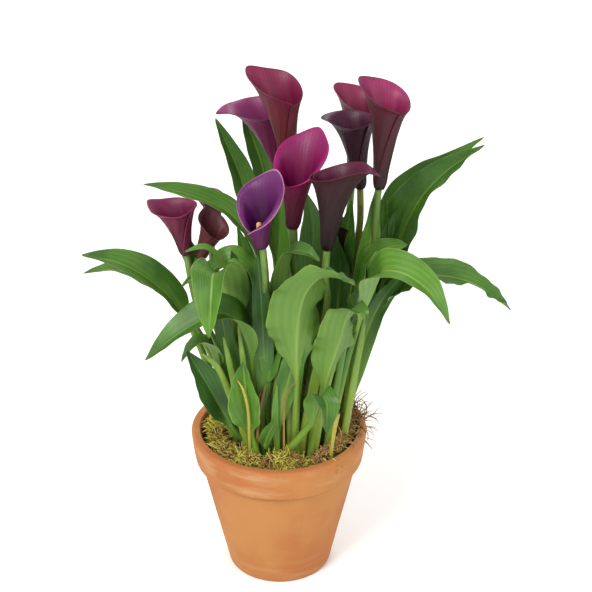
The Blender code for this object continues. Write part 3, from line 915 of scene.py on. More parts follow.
@dataclass
class InnerLeaf(Leaf):
    """A leaf inside the clump, drawn along a path of its own."""

    path: tuple[Triple, ...] = ()
    half_width: float = 0.0080
    stalk_half: float = 0.0030
    facing: Triple = (0.0, -1.0, 0.35)
    gutter: float = 0.22
    thinnest: float = 0.0003

    def rings(self) -> np.ndarray:
        """Draw the rings along the path, in the same order as a CAD leaf's.

        Returns:
            Rings by point and coordinate.
        """
        share = np.linspace(0, 1, LEAF_RINGS)
        line = spline(np.array(self.path), share * (len(self.path) - 1))
        along = unit(np.gradient(line, axis=0))
        side = unit(np.cross(along, np.array(self.facing)))
        over = np.cross(side, along)
        blade = np.clip((np.arange(LEAF_RINGS) - STALK_RINGS + 1) / (BLADE_RINGS + 1), 0, 1)
        half = self.stalk_half * np.sqrt(1 - blade)
        half = half + self.half_width * np.sin(math.pi * blade ** 0.8) ** 0.9
        half = np.maximum(half, self.thinnest)
        thick = self.thinnest + (self.stalk_half * 0.75 - self.thinnest) * (1 - blade) ** 2
        turn = np.arange(LEAF_POINTS) * math.tau / LEAF_POINTS
        across = -np.cos(turn)[None, :] * half[:, None]
        up = np.sin(turn)[None, :] * thick[:, None]
        up = up + self.gutter * np.cos(turn)[None, :] ** 2 * half[:, None]
        return line[:, None] + side[:, None] * across[..., None] + over[:, None] * up[..., None]

    def stands_for(self) -> Optional[str]:
        """Return None, because the clump's inner leaves have no CAD node."""
        return None


class ShootTone(Enum):
    """How a small shoot is coloured."""

    GREEN = StalkFinish("shoot_green", top=tint(86, 140, 40), foot=tint(136, 168, 56),
                        freckle=tint(70, 122, 36), freckles=0.3)
    LIGHT = StalkFinish("shoot_light", top=tint(118, 160, 48), foot=tint(164, 184, 70),
                        freckle=tint(176, 192, 76), freckles=0.35)
    YELLOW = StalkFinish("shoot_yellow", top=tint(204, 186, 58), foot=tint(158, 168, 62),
                         freckle=tint(190, 140, 50), freckles=0.4)
    DRY = StalkFinish("shoot_dry", top=tint(146, 104, 52), foot=tint(178, 160, 72),
                      freckle=tint(112, 72, 40), freckles=0.5)


@dataclass
class Shoot:
    """A small blade or stalk that grows up between the leaves."""

    name: str
    path: tuple[Triple, ...]
    width: float
    depth: float
    tone: ShootTone = ShootTone.GREEN
    blade: float = 0.0
    facing: Triple = (0.0, -1.0, 0.2)
    sides: int = 16
    rows: int = 36
    tip_share: float = 0.22
    thinnest: float = 0.02
    hollow: float = 0.30

    def build(self, finish: bpy.types.Material) -> bpy.types.Object:
        """Build the shoot.

        Args:
            finish: its material.

        Returns:
            The finished piece.
        """
        points = np.array(self.path)
        share = np.linspace(0, 1, self.rows + 1)
        line = spline(points, share * (len(points) - 1))
        along = unit(np.gradient(line, axis=0))
        side = unit(np.cross(along, np.array(self.facing)))
        upper = np.cross(side, along)
        swell = 1 + self.blade * np.sin(math.pi * np.clip((share - 0.25) / 0.75, 0, 1)) ** 1.3
        taper = np.sqrt(np.clip((1 - share) / self.tip_share, 0, 1)) * (1.0 - 0.25 * share) * swell
        half = self.width / 2 * np.maximum(taper, self.thinnest)
        slim = 1 - 0.6 * share * min(self.blade, 1.0)
        thick = self.depth / 2 * np.maximum(np.minimum(taper, 1.0), self.thinnest) * slim
        turn = np.linspace(math.pi, -math.pi, self.sides + 1)[:, None]
        cup = self.hollow * half[None, :] * np.cos(turn) ** 2 * (0.4 + 0.6 * share)[None, :]
        place = (side[None] * (np.cos(turn) * half[None, :])[..., None]
                 + upper[None] * (np.sin(turn) * thick[None, :] + cup)[..., None])
        table = line[None] + place
        table[:, -1] = table[:, -1].mean(0)
        work = shaped_grid(table)
        close_tube(work)
        return add_piece("shoot_" + self.name, work, [finish])


# --- flowers -----------------------------------------------------------------------------------
STEM_POINTS = 6     # points in each ring of a stem and its finger
STEM_TOP = 10       # ring where the stem ends and the finger starts
ROLL_POINTS = 11    # points across each side of a spathe's rings
ROLL_MIDDLE = 5     # the point across from the roll's opening, where its tip is


@dataclass(frozen=True)
class FlowerTone:
    """Colours of one flower, outside and inside."""

    outer_base: Color
    outer_body: Color
    outer_rim: Color
    inner_base: Color
    inner_body: Color
    inner_rim: Color
    edge: Color
    vein: Color
    stalk: Color = tint(112, 150, 62)
    freckles: float = 0.35


@dataclass
class Flower:
    """One flower: a round stalk, a floret-covered finger and the rolled spathe round them."""

    number: int
    tone: FlowerTone
    lip: float = 0.0016
    tip: float = 0.0
    tip_hook: float = 0.0
    tip_drop: float = 0.0
    opening: float = 0.12
    brow: float = 0.0
    flat_top: float = 0.06
    waist: float = 0.22
    ruffle: float = 0.0006
    columns: int = 54
    rows: int = 32
    thickness: float = 0.0008
    stalk_sides: int = 16
    stalk_rows: int = 50
    finger_sides: int = 22
    finger_rows: int = 34
    finger_share: float = 0.8
    ridge: float = 0.035
    ridges: int = 5
    floret: float = 0.10
    floret_lines: int = 5
    floret_rise: float = 40.0
    flute: float = 0.00018
    stem_node: str = field(init=False)
    roll_node: str = field(init=False)
    stem: np.ndarray = field(init=False)

    def __post_init__(self) -> None:
        """Read the stem's rings once."""
        self.stem_node = f"flower_stem_{self.number:02d}"
        self.roll_node = f"spathe_{self.number:02d}"
        self.stem = RingStack(self.stem_node, STEM_POINTS).read()

    def build(self, finger: bpy.types.Material) -> None:
        """Build all the flower's pieces.

        Args:
            finger: the spadix's material.
        """
        self.build_stalk()
        self.build_finger(finger)
        self.build_roll()

    def build_stalk(self) -> None:
        """Build the smooth round stalk in place of the CAD stem."""
        rings = self.stem[:STEM_TOP + 1]
        rows = np.linspace(0, len(rings) - 1, self.stalk_rows + 1)
        fine = spline(rings, rows)
        around = np.linspace(0, STEM_POINTS, self.stalk_sides + 1)
        table = spline(fine.transpose(1, 0, 2), around, closed=True)
        middle = fine.mean(1)[None]
        turn = np.linspace(0, math.tau, self.stalk_sides + 1)
        ridge = 1 + self.ridge * np.cos(turn * self.ridges)[:, None, None]
        table = middle + (table - middle) * ridge
        work = shaped_grid(table)
        close_tube(work)
        skin = StalkFinish(f"stalk_{self.number:02d}", top=self.tone.stalk, foot=tint(146, 176, 80),
                           freckle=tint(112, 58, 44), freckles=self.tone.freckles).make()
        add_piece(f"flower_{self.number:02d}_stalk", work, [skin], self.stem_node)

    def build_finger(self, finish: bpy.types.Material) -> None:
        """Build the finger, covered in small round florets.

        Args:
            finish: its material.
        """
        foot = self.stem[STEM_TOP].mean(0)
        rings = foot + (self.stem[STEM_TOP:] - foot) * self.finger_share
        rows = np.linspace(0, len(rings) - 1, self.finger_rows + 1)
        fine = spline(rings, rows)
        around = np.linspace(0, STEM_POINTS, self.finger_sides * 2 + 1)
        table = spline(fine.transpose(1, 0, 2), around, closed=True)
        middle = fine.mean(1)[None]
        turn = np.linspace(0, math.tau, len(around))[:, None]
        high = np.linspace(0, 1, len(rows))[None, :]
        lines = self.floret_lines * turn
        rise = self.floret_rise * high
        florets = np.cos(lines + rise) * np.cos(lines - rise)
        swell = 1 + self.floret * florets * ease((high - 0.3) / 0.1) * ease((1 - high) / 0.1)
        table = middle + (table - middle) * swell[..., None]
        table[:, -1] = table[:, -1].mean(0)
        work = shaped_grid(table)
        close_tube(work)
        add_piece(f"flower_{self.number:02d}_finger", work, [finish])

    def roll_table(self) -> tuple[np.ndarray, np.ndarray]:
        """Work out where the outside of the roll lies.

        Returns:
            Places by column round the roll and row from throat to rim, and the outward
            direction at each.
        """
        grip = self.stem[-1].mean(0) - self.stem[STEM_TOP].mean(0)
        stack = RingStack(self.roll_node, 2 * ROLL_POINTS, tuple(grip)).read()
        axis = stack[-1].mean(0) - stack[0].mean(0)
        if np.dot(turned_area(stack[0]), axis) > 0:
            stack = stack[:, ::-1]
        gaps = np.linalg.norm(np.roll(stack, -1, 1) - stack, axis=2)[2]
        ends = sorted(np.argsort(gaps)[:2])
        found = None
        for end in ends:
            trial = np.roll(stack, -(int(end) + 1), axis=1)
            outer = trial[:, :ROLL_POINTS]
            inner = trial[:, ROLL_POINTS:][:, ::-1]
            middle = trial[0].mean(0)
            wider = np.linalg.norm(outer[0] - middle, axis=1).sum()
            if wider > np.linalg.norm(inner[0] - middle, axis=1).sum():
                found = (outer, inner)
        if found is None:
            raise ValueError(f"{self.roll_node} has no outer side")
        outer, inner = found
        rows = np.linspace(0, len(outer) - 1, self.rows + 1)
        columns = np.linspace(0, ROLL_POINTS - 1, self.columns + 1)
        skin = spline(spline(outer, rows).transpose(1, 0, 2), columns)
        core = spline(spline(inner, rows).transpose(1, 0, 2), columns)
        normal = unit(np.cross(np.gradient(skin, axis=0), np.gradient(skin, axis=1)))
        facing = np.sign((normal * (skin - core)).sum(-1).sum())
        return skin, normal * facing

    def trimmed_table(self, rest: np.ndarray, high: np.ndarray) -> tuple[np.ndarray, np.ndarray]:
        """Cut the roll's rim to the flower's outline.

        Args:
            rest: distance of each column from the tip's column, 0 to 1.
            high: height share of each row.

        Returns:
            The skin's places and the outward direction at each.
        """
        skin, out = self.roll_table()
        near = np.clip(-out[:, -4:, 1].mean(1), 0, 1)
        reach = 1 - self.opening * ease((rest - 0.35) / 0.65) + self.brow * near * (1 - rest ** 4)
        reach -= self.flat_top * np.exp(-(rest * ROLL_MIDDLE / 1.1) ** 2)
        cut = [spline(line, high * self.rows * share) for line, share in zip(skin, reach)]
        facing = [spline(line, high * self.rows * min(share, 1.0)) for line, share in zip(out, reach)]
        return np.array(cut), unit(np.array(facing))

    def shaped_table(self) -> tuple[np.ndarray, np.ndarray]:
        """Shape the roll: pulled-in waist, turned-out lip, drawn-out tip and soft ruffle.

        Returns:
            The skin's places and the outward direction at each.
        """
        columns = np.linspace(0, ROLL_POINTS - 1, self.columns + 1)[:, None]
        high = np.linspace(0, 1, self.rows + 1)[None, :]
        rest = np.abs(columns[:, 0] - ROLL_MIDDLE) / ROLL_MIDDLE
        skin, out = self.trimmed_table(rest, high[0])
        along = unit(np.gradient(skin, axis=1))
        spine = skin.mean(0)[None]
        waist = 1 - self.waist * np.exp(-(high / 0.05) ** 2)
        skin = spine + (skin - spine) * waist[..., None]
        lip = np.clip((high - 0.78) / 0.22, 0, 1)
        side = 0.35 + 0.65 * np.exp(-((rest - 0.5) / 0.3) ** 2)[:, None]
        turned = out * (lip ** 2)[..., None] - along * (0.75 * lip ** 3)[..., None]
        skin = skin + turned * (self.lip * side)[..., None]
        peak = np.exp(-((columns - ROLL_MIDDLE) / 0.75) ** 2)
        drawn = peak * np.clip((high - 0.75) / 0.25, 0, 1) ** 2
        skin = skin + along * (self.tip * drawn)[..., None]
        curled = drawn * np.clip((high - 0.8) / 0.2, 0, 1)
        skin = skin + out * (self.tip_hook * curled)[..., None]
        skin[..., 2] -= self.tip_drop * curled * np.clip((high - 0.85) / 0.15, 0, 1)
        ruffle = self.ruffle * np.sin(columns * 2.9 + self.number) * high ** 4
        flute = self.flute * np.sin(columns * 7.3) * np.sin(high * math.pi)
        return skin + out * (ruffle + flute)[..., None], out

    def build_roll(self) -> None:
        """Build the rolled spathe as a thin wall in place of the CAD one."""
        skin, out = self.shaped_table()
        work = shaped_grid(skin)
        bmesh.ops.recalc_face_normals(work, faces=work.faces)
        work.faces.ensure_lookup_table()
        middle = work.faces[len(work.faces) // 2]
        spot = np.array(middle.calc_center_median())
        nearest = np.unravel_index(np.argmin(np.linalg.norm(skin - spot, axis=-1)), out.shape[:2])
        if np.dot(np.array(middle.normal), out[nearest]) < 0:
            bmesh.ops.reverse_faces(work, faces=work.faces)
        tone = self.tone
        name = f"flower_{self.number:02d}"
        outer = PetalFinish(name + "_outside", tone.outer_base, tone.outer_body, tone.outer_rim,
                            tone.vein, tone.edge)
        inner = PetalFinish(name + "_inside", tone.inner_base, tone.inner_body, tone.inner_rim,
                            tone.vein, tone.edge, vein_share=0.30, roughness=0.42, sheen=0.03)
        piece = add_piece(name + "_roll", work, [outer.make(), inner.make()], self.roll_node)
        wall = piece.modifiers.new("wall", "SOLIDIFY")
        wall.thickness = self.thickness
        wall.offset = -1.0
        wall.material_offset = 1
        wall.material_offset_rim = 0
        round_off = piece.modifiers.new("round", "SUBSURF")
        round_off.levels = 1
        round_off.render_levels = 1


# --- pot, soil and moss ------------------------------------------------------------------------
@dataclass
class Pot:
    """The clay pot: a banded cone with a rounded lip and three drain holes."""

    band: float = 0.030
    band_taper: float = 0.003
    band_step: float = 0.0048
    foot_radius: float = 0.048
    wall: float = 0.0085
    floor: float = 0.010
    lip: float = 0.0030
    drain_radius: float = 0.004
    drain_offset: float = 0.020
    drains: int = 3
    drift: float = 0.00022
    steps: int = 128
    rim: float = field(init=False)
    height: float = field(init=False)

    def __post_init__(self) -> None:
        """Take the rim's radius and the height from the CAD node."""
        low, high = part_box("pot")
        self.rim = (high.x - low.x) / 2
        self.height = high.z

    def profile(self) -> list[tuple[float, float]]:
        """List the wall's section, outer side top to bottom and back up inside.

        Returns:
            Pairs of radius and height.
        """
        foot = self.height - self.band
        rim = self.rim
        lip = self.lip
        points: list[tuple[float, float]] = []
        for i in range(7):
            a = math.radians(90 - 15 * i)
            points.append((rim - lip + lip * math.cos(a), self.height - lip + lip * math.sin(a)))
        for i in range(1, 6):
            share = i / 6
            points.append((rim - self.band_taper * share + 0.00025 * math.sin(math.pi * share),
                           self.height - lip - (self.band - lip - 0.0012) * share))
        edge = rim - self.band_taper
        points += [(edge, foot + 0.0012), (edge - 0.0003, foot + 0.0005), (edge - 0.0009, foot),
                   (edge - self.band_step * 0.62, foot - 0.0006),
                   (edge - self.band_step * 0.9, foot - 0.0011),
                   (edge - self.band_step, foot - 0.0022)]
        top = points[-1]
        for i in range(1, 14):
            share = i / 14
            points.append((top[0] + (self.foot_radius - top[0]) * share,
                           top[1] + (0.0024 - top[1]) * share))
        points += [(self.foot_radius, 0.0024), (self.foot_radius - 0.0005, 0.0010),
                   (self.foot_radius - 0.0016, 0.0001), (self.foot_radius - 0.0024, 0.0),
                   (self.foot_radius - 0.012, 0.0), (0.0, 0.0)]
        points += [(0.0, self.floor), (self.foot_radius - self.wall, self.floor)]
        inner = rim - self.wall
        points += [(inner - 0.0012, self.height - 0.018), (inner - 0.0004, self.height - 0.006),
                   (inner, self.height - 0.0026), (inner + 0.0005, self.height - 0.0010),
                   (inner + 0.0014, self.height - 0.0001)]
        return points

    def build(self) -> None:
        """Turn the wall, smooth its seams and bore the drain holes."""
        work = bmesh.new()
        section = self.profile()
        verts = [work.verts.new((radius, 0.0, high)) for radius, high in section]
        for a, b in zip(verts, verts[1:]):
            if a.co.xy.length > 1e-9 or b.co.xy.length > 1e-9:
                work.edges.new((a, b))
        work.edges.new((verts[-1], verts[0]))
        bmesh.ops.spin(work, geom=work.verts[:] + work.edges[:], cent=(0, 0, 0), axis=(0, 0, 1),
                       angle=math.tau, steps=self.steps, use_merge=True)
        bmesh.ops.remove_doubles(work, verts=work.verts, dist=2e-5)
        for vert in work.verts:
            away = Vector((vert.co.x, vert.co.y, 0.0))
            if away.length > 0.045 and vert.co.z > 0.004:
                drift = noise.noise(vert.co * 18.0) * self.drift
                vert.co += away.normalized() * drift
        bmesh.ops.recalc_face_normals(work, faces=work.faces)
        finish = ClayFinish().make(self.height - self.band, self.height)
        piece = add_piece("pot_clay", work, [finish], "pot")
        self.bore_drains(piece)
        piece.data.set_sharp_from_angle(angle=math.radians(38))

    def bore_drains(self, piece: bpy.types.Object) -> None:
        """Bore the drain holes through the floor.

        Args:
            piece: the pot.
        """
        drill = bmesh.new()
        for i in range(self.drains):
            angle = math.radians(90 + 360 / self.drains * i)
            shift = Matrix.Translation((self.drain_offset * math.cos(angle),
                                        self.drain_offset * math.sin(angle), self.floor / 2))
            bmesh.ops.create_cone(drill, cap_ends=True, segments=32, radius1=self.drain_radius,
                                  radius2=self.drain_radius, depth=self.floor * 3, matrix=shift)
        bit = bpy.data.meshes.new("drill")
        drill.to_mesh(bit)
        drill.free()
        cutter = bpy.data.objects.new("drill", bit)
        bpy.context.scene.collection.objects.link(cutter)
        bore = piece.modifiers.new("bore", "BOOLEAN")
        bore.object = cutter
        bore.solver = "EXACT"
        settle(piece)
        bpy.data.objects.remove(cutter)

    def inner_radius(self, height: float) -> float:
        """Return the inner wall's radius at a height."""
        share = (height - self.floor) / (self.height - self.floor)
        return (self.foot_radius - self.wall) + share * (self.rim - self.foot_radius)


@dataclass
class Bits:
    """Builds many small copies of a few shapes into one mesh, each with its own tone."""

    seed: int
    dice: random.Random = field(init=False)
    work: bmesh.types.BMesh = field(init=False)
    templates: list[bpy.types.Mesh] = field(init=False, default_factory=list)

    def __post_init__(self) -> None:
        """Start the mesh and its tone layer."""
        self.dice = random.Random(self.seed)
        self.work = bmesh.new()
        self.work.verts.layers.float.new("tone")

    def lay(self, body: bmesh.types.BMesh) -> None:
        """Take in a finished body, before any copies, and free it."""
        data = bpy.data.meshes.new("body")
        body.to_mesh(data)
        body.free()
        self.work.from_mesh(data)
        bpy.data.meshes.remove(data)

    def add_strands(self, kinds: int, length: float, radius: float) -> None:
        """Make a few curled threads to copy.

        Args:
            kinds: how many shapes.
            length: length of a thread.
            radius: its thickness at the thick end.
        """
        for _ in range(kinds):
            shape = bmesh.new()
            bmesh.ops.create_cone(shape, cap_ends=True, segments=3, radius1=radius,
                                  radius2=radius * 0.35, depth=length)
            longways = [e for e in shape.edges if abs(e.verts[0].co.z - e.verts[1].co.z) > length / 2]
            bmesh.ops.subdivide_edges(shape, edges=longways, cuts=6)
            bend = self.dice.uniform(0.8, 3.4)
            twist = self.dice.uniform(-2.5, 2.5)
            for vert in shape.verts:
                share = vert.co.z / length + 0.5
                angle = bend * share
                turn = twist * share
                reach = length / bend
                rest = Vector((vert.co.x, vert.co.y, 0.0))
                spine = Vector((reach * (1 - math.cos(angle)), 0.0, reach * math.sin(angle)))
                rest.rotate(Matrix.Rotation(angle, 3, "Y"))
                spot = spine + rest
                spot.y += 0.25 * length * math.sin(turn) * share
                vert.co = spot
            data = bpy.data.meshes.new("thread")
            shape.to_mesh(data)
            shape.free()
            self.templates.append(data)

    def add_crumbs(self, kinds: int) -> None:
        """Make a few lumps of unit size to copy.

        Args:
            kinds: how many shapes.
        """
        for _ in range(kinds):
            shape = bmesh.new()
            bmesh.ops.create_icosphere(shape, subdivisions=1, radius=1.0)
            for vert in shape.verts:
                vert.co *= self.dice.uniform(0.7, 1.25)
            data = bpy.data.meshes.new("crumb")
            shape.to_mesh(data)
            shape.free()
            self.templates.append(data)

    def place(self, matrix: Matrix, tone: float) -> None:
        """Copy one of the shapes to a place.

        Args:
            matrix: where it goes.
            tone: its tone, 0 to 1.
        """
        before = len(self.work.verts)
        self.work.from_mesh(self.dice.choice(self.templates))
        self.work.verts.ensure_lookup_table()
        fresh = self.work.verts[before:]
        bmesh.ops.transform(self.work, matrix=matrix, verts=fresh)
        layer = self.work.verts.layers.float["tone"]
        for vert in fresh:
            vert[layer] = tone


@dataclass
class Soil:
    """The potting soil: a bumpy bed with crumbs lying on it."""

    pot: Pot
    crumbs: int = 420
    gap: float = 0.0006
    rings: int = 30
    steps: int = 110
    lump: float = 0.0016
    seed: int = 5

    def bed(self, top: float, floor: float, outer: float) -> bmesh.types.BMesh:
        """Turn the bed and roughen its top.

        Args:
            top: height of its top.
            floor: height of its underside.
            outer: radius of its top.

        Returns:
            The bed, with a tone layer.
        """
        base = self.pot.inner_radius(floor) - self.gap
        bed = bmesh.new()
        verts = [bed.verts.new((outer * i / self.rings, 0.0, top)) for i in range(self.rings + 1)]
        verts += [bed.verts.new((outer + (base - outer) * i / 4, 0.0, top + (floor - top) * i / 4))
                  for i in range(1, 5)]
        verts.append(bed.verts.new((0.0, 0.0, floor)))
        for a, b in zip(verts, verts[1:]):
            bed.edges.new((a, b))
        bmesh.ops.spin(bed, geom=bed.verts[:] + bed.edges[:], cent=(0, 0, 0), axis=(0, 0, 1),
                       angle=math.tau, steps=self.steps, use_merge=True)
        bmesh.ops.remove_doubles(bed, verts=bed.verts, dist=2e-5)
        bmesh.ops.recalc_face_normals(bed, faces=bed.faces)
        layer = bed.verts.layers.float.new("tone")
        for vert in bed.verts:
            vert[layer] = 0.25
            if vert.co.z > top - 1e-5:
                bump = noise.fractal(vert.co * 160.0, 1.0, 2.0, 4)
                away = vert.co.xy.length
                held = float(ease((outer - away) / 0.004))
                vert.co.z += (self.lump * bump + 0.0014) * held
        return bed

    def build(self) -> None:
        """Build the bed and its crumbs in place of the CAD soil."""
        low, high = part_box("soil")
        top = high.z
        outer = (high.x - low.x) / 2
        bits = Bits(self.seed)
        bits.lay(self.bed(top, low.z, outer))
        bits.add_crumbs(5)
        dice = bits.dice
        for _ in range(self.crumbs):
            away = outer * math.sqrt(dice.random()) * 0.97
            angle = dice.uniform(0, math.tau)
            size = dice.uniform(0.0006, 0.0021)
            spot = Vector((away * math.cos(angle), away * math.sin(angle), top + self.lump + size * 0.3))
            turn = Matrix.Rotation(dice.uniform(0, 6.28), 4, Vector((dice.random(), dice.random(), 0.4)))
            bits.place(Matrix.Translation(spot) @ turn @ Matrix.Diagonal((size, size * 0.8, size * 0.6, 1)),
                       dice.choice((0.05, 0.15, 0.3, 0.45, 0.7)))
        add_piece("soil_bed", bits.work, [POTTING_SOIL.make()], "soil")


@dataclass
class Moss:
    """One cushion of moss: a lumpy body with curled threads growing out of it."""

    node: str
    tones: tuple[float, ...]
    threads: int = 620
    stray: int = 22
    length: float = 0.0150
    thread: float = 0.00095
    kinds: int = 8
    seed: int = 1

    def body(self, floor: float) -> bmesh.types.BMesh:
        """Round the CAD node and make it lumpy.

        Args:
            floor: height of its underside, which stays flat.

        Returns:
            The body, with a tone layer.
        """
        body = bmesh.new()
        body.from_mesh(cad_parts[self.node].data)
        bmesh.ops.remove_doubles(body, verts=body.verts, dist=2e-6)
        bmesh.ops.subdivide_edges(body, edges=body.edges[:], cuts=3, use_grid_fill=True)
        for _ in range(3):
            bmesh.ops.smooth_vert(body, verts=body.verts, factor=0.5, use_axis_x=True,
                                  use_axis_y=True, use_axis_z=True)
        bmesh.ops.triangulate(body, faces=body.faces)
        bmesh.ops.recalc_face_normals(body, faces=body.faces)
        body.normal_update()
        layer = body.verts.layers.float.new("tone")
        for vert in body.verts:
            lump = noise.noise(vert.co * 150.0) * 0.0022 + noise.noise(vert.co * 420.0) * 0.0009
            held = float(ease((vert.co.z - floor) / 0.003))
            vert.co += vert.normal * (lump * 1.3 + 0.0016) * held
            # Painted shade: the body takes the darkest tone, for the dark gaps between the threads.
            vert[layer] = 0.03
        return body

    def build(self, finish: bpy.types.Material, pot: Pot) -> None:
        """Build the moss in place of its CAD node.

        Args:
            finish: the moss's material.
            pot: the pot it lies in.
        """
        low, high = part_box(self.node)
        bits = Bits(self.seed)
        body = self.body(low.z)
        tree = BVHTree.FromBMesh(body)
        bits.lay(body)
        bits.add_strands(self.kinds, self.length, self.thread)
        dice = bits.dice
        placed = 0
        tries = 0
        while placed < self.threads and tries < self.threads * 6:
            tries += 1
            above = Vector((dice.uniform(low.x, high.x), dice.uniform(low.y, high.y), high.z + 0.05))
            spot, normal, _, _ = tree.ray_cast(above, Vector((0, 0, -1)))
            if spot is None:
                continue
            placed += 1
            away = math.hypot(spot.x, spot.y)
            free = placed > self.threads - self.stray
            lean = Vector((dice.uniform(-1, 1), dice.uniform(-1, 1), dice.uniform(-0.1, 0.9)))
            if away > pot.inner_radius(pot.height) - 0.010 and not free:
                lean += Vector((-spot.x, -spot.y, 0.0)).normalized() * 0.9
            aim = (lean.normalized() + normal * 0.5).normalized()
            turn = aim.to_track_quat("Z", "Y").to_matrix().to_4x4()
            roll = Matrix.Rotation(dice.uniform(0, math.tau), 4, "Z")
            size = dice.uniform(0.45, 1.0) * (1.35 if free else 1.0)
            patch = 0.5 + 0.9 * noise.noise(spot * 75.0) + dice.uniform(-0.18, 0.18)
            tone = self.tones[min(max(int(patch * len(self.tones)), 0), len(self.tones) - 1)]
            bits.place(Matrix.Translation(spot - aim * 0.0012) @ turn @ roll @ Matrix.Scale(size, 4),
                       min(max(tone + dice.uniform(-0.12, 0.12), 0.0), 1.0))
        add_piece(self.node + "_cushion", bits.work, [finish], self.node)


@dataclass
class Tuft:
    """A loose tuft of curled dry strands that stands clear of the moss."""

    name: str
    center: Triple
    spread: Triple
    lean: Triple
    tones: tuple[float, ...]
    count: int = 90
    length: float = 0.022
    thread: float = 0.0006
    kinds: int = 7
    seed: int = 31

    def build(self, finish: bpy.types.Material) -> bpy.types.Object:
        """Build the tuft.

        Args:
            finish: the moss's material.

        Returns:
            The finished piece.
        """
        bits = Bits(self.seed)
        bits.add_strands(self.kinds, self.length, self.thread)
        dice = bits.dice
        for _ in range(self.count):
            spot = Vector([dice.gauss(middle, wide / 2) for middle, wide in zip(self.center, self.spread)])
            aim = Vector([dice.uniform(-0.8, 0.8) + push for push in self.lean]).normalized()
            turn = aim.to_track_quat("Z", "Y").to_matrix().to_4x4()
            roll = Matrix.Rotation(dice.uniform(0, math.tau), 4, "Z")
            size = dice.uniform(0.45, 1.0)
            bits.place(Matrix.Translation(spot) @ turn @ roll @ Matrix.Scale(size, 4),
                       min(max(dice.choice(self.tones) + dice.uniform(-0.1, 0.1), 0.0), 1.0))
        return add_piece("moss_" + self.name, bits.work, [finish])


# --- studio ------------------------------------------------------------------------------------
@dataclass(frozen=True)
class Lamp:
    """One soft square lamp, turned to the plant."""

    name: str
    place: Triple
    size: float
    power: float
    color: Triple = (1.0, 1.0, 1.0)
    target: Triple = (0.0, 0.0, 0.22)

    def hang(self) -> None:
        """Put the lamp in the scene."""
        data = bpy.data.lights.new(self.name, "AREA")
        data.size = self.size
        data.energy = self.power
        data.color = self.color
        lamp = bpy.data.objects.new(self.name, data)
        lamp.location = self.place
        way = Vector(self.target) - Vector(self.place)
        lamp.rotation_euler = way.to_track_quat("-Z", "Y").to_euler()
        bpy.context.scene.collection.objects.link(lamp)


LAMPS = [
    Lamp("key", (-1.1, -1.5, 1.9), 1.0, 54.0, (1.0, 0.985, 0.95)),
    Lamp("fill", (1.6, -1.4, 1.0), 1.4, 16.0, (0.97, 0.985, 1.0)),
    Lamp("back", (0.3, 1.6, 1.9), 1.2, 20.0),
]


@dataclass
class Studio:
    """Pale floor, soft light and the camera."""

    distance: float = 1.30
    elevation: float = math.radians(27.43)
    lens: float = 90.9
    aim: Triple = (0.0154, 0.0, 0.2741)
    floor_half: float = 14.0
    sky: float = 0.80

    def build_floor(self) -> None:
        """Lay the pale floor under the pot."""
        work = bmesh.new()
        bmesh.ops.create_grid(work, x_segments=1, y_segments=1, size=self.floor_half)
        data = bpy.data.meshes.new("floor")
        work.to_mesh(data)
        work.free()
        made, _, shader = new_material("floor_paper")
        shader.inputs["Base Color"].default_value = (0.93, 0.93, 0.92, 1.0)
        shader.inputs["Roughness"].default_value = 0.9
        shader.inputs["Specular IOR Level"].default_value = 0.1
        data.materials.append(made)
        floor = bpy.data.objects.new("floor", data)
        bpy.context.scene.collection.objects.link(floor)

    def build(self) -> None:
        """Set floor, light and camera."""
        self.build_floor()
        for lamp in LAMPS:
            lamp.hang()
        world = bpy.data.worlds.new("studio")
        world.use_nodes = True
        sky = world.node_tree.nodes["Background"]
        sky.inputs[0].default_value = (1.0, 1.0, 1.0, 1.0)
        sky.inputs[1].default_value = self.sky
        bpy.context.scene.world = world
        bpy.context.scene.view_settings.view_transform = "Standard"
        data = bpy.data.cameras.new("camera")
        data.lens = self.lens
        data.sensor_width = 36.0
        data.clip_end = 60.0
        camera = bpy.data.objects.new("camera", data)
        back = Vector((0.0, -math.cos(self.elevation), math.sin(self.elevation)))
        camera.location = Vector(self.aim) + back * self.distance
        camera.rotation_euler = (math.pi / 2 - self.elevation, 0.0, 0.0)
        bpy.context.scene.collection.objects.link(camera)
        bpy.context.scene.camera = camera


# --- the plant ---------------------------------------------------------------------------------
WINE = FlowerTone(
    outer_base=tint(60, 24, 26), outer_body=tint(104, 34, 36), outer_rim=tint(116, 30, 56),
    inner_base=tint(80, 8, 36), inner_body=tint(122, 16, 62), inner_rim=tint(152, 42, 88),
    edge=tint(104, 30, 56), vein=tint(70, 12, 28))
PLUM = FlowerTone(
    outer_base=tint(84, 22, 50), outer_body=tint(116, 34, 78), outer_rim=tint(140, 46, 102),
    inner_base=tint(96, 14, 60), inner_body=tint(128, 34, 92), inner_rim=tint(156, 60, 120),
    edge=tint(104, 28, 66), vein=tint(76, 16, 52))
MAGENTA = FlowerTone(
    outer_base=tint(76, 18, 34), outer_body=tint(116, 16, 58), outer_rim=tint(164, 20, 94),
    inner_base=tint(76, 4, 36), inner_body=tint(120, 4, 68), inner_rim=tint(158, 26, 108),
    edge=tint(190, 40, 112), vein=tint(92, 8, 60))
PURPLE = FlowerTone(
    outer_base=tint(66, 10, 54), outer_body=tint(104, 16, 88), outer_rim=tint(132, 36, 116),
    inner_base=tint(44, 2, 38), inner_body=tint(72, 4, 68), inner_rim=tint(120, 36, 116),
    edge=tint(206, 146, 178), vein=tint(60, 8, 64))
BURGUNDY = FlowerTone(
    outer_base=tint(18, 9, 8), outer_body=tint(44, 8, 13), outer_rim=tint(70, 8, 32),
    inner_base=tint(46, 4, 24), inner_body=tint(80, 8, 44), inner_rim=tint(104, 16, 60),
    edge=tint(84, 18, 46), vein=tint(36, 8, 18))
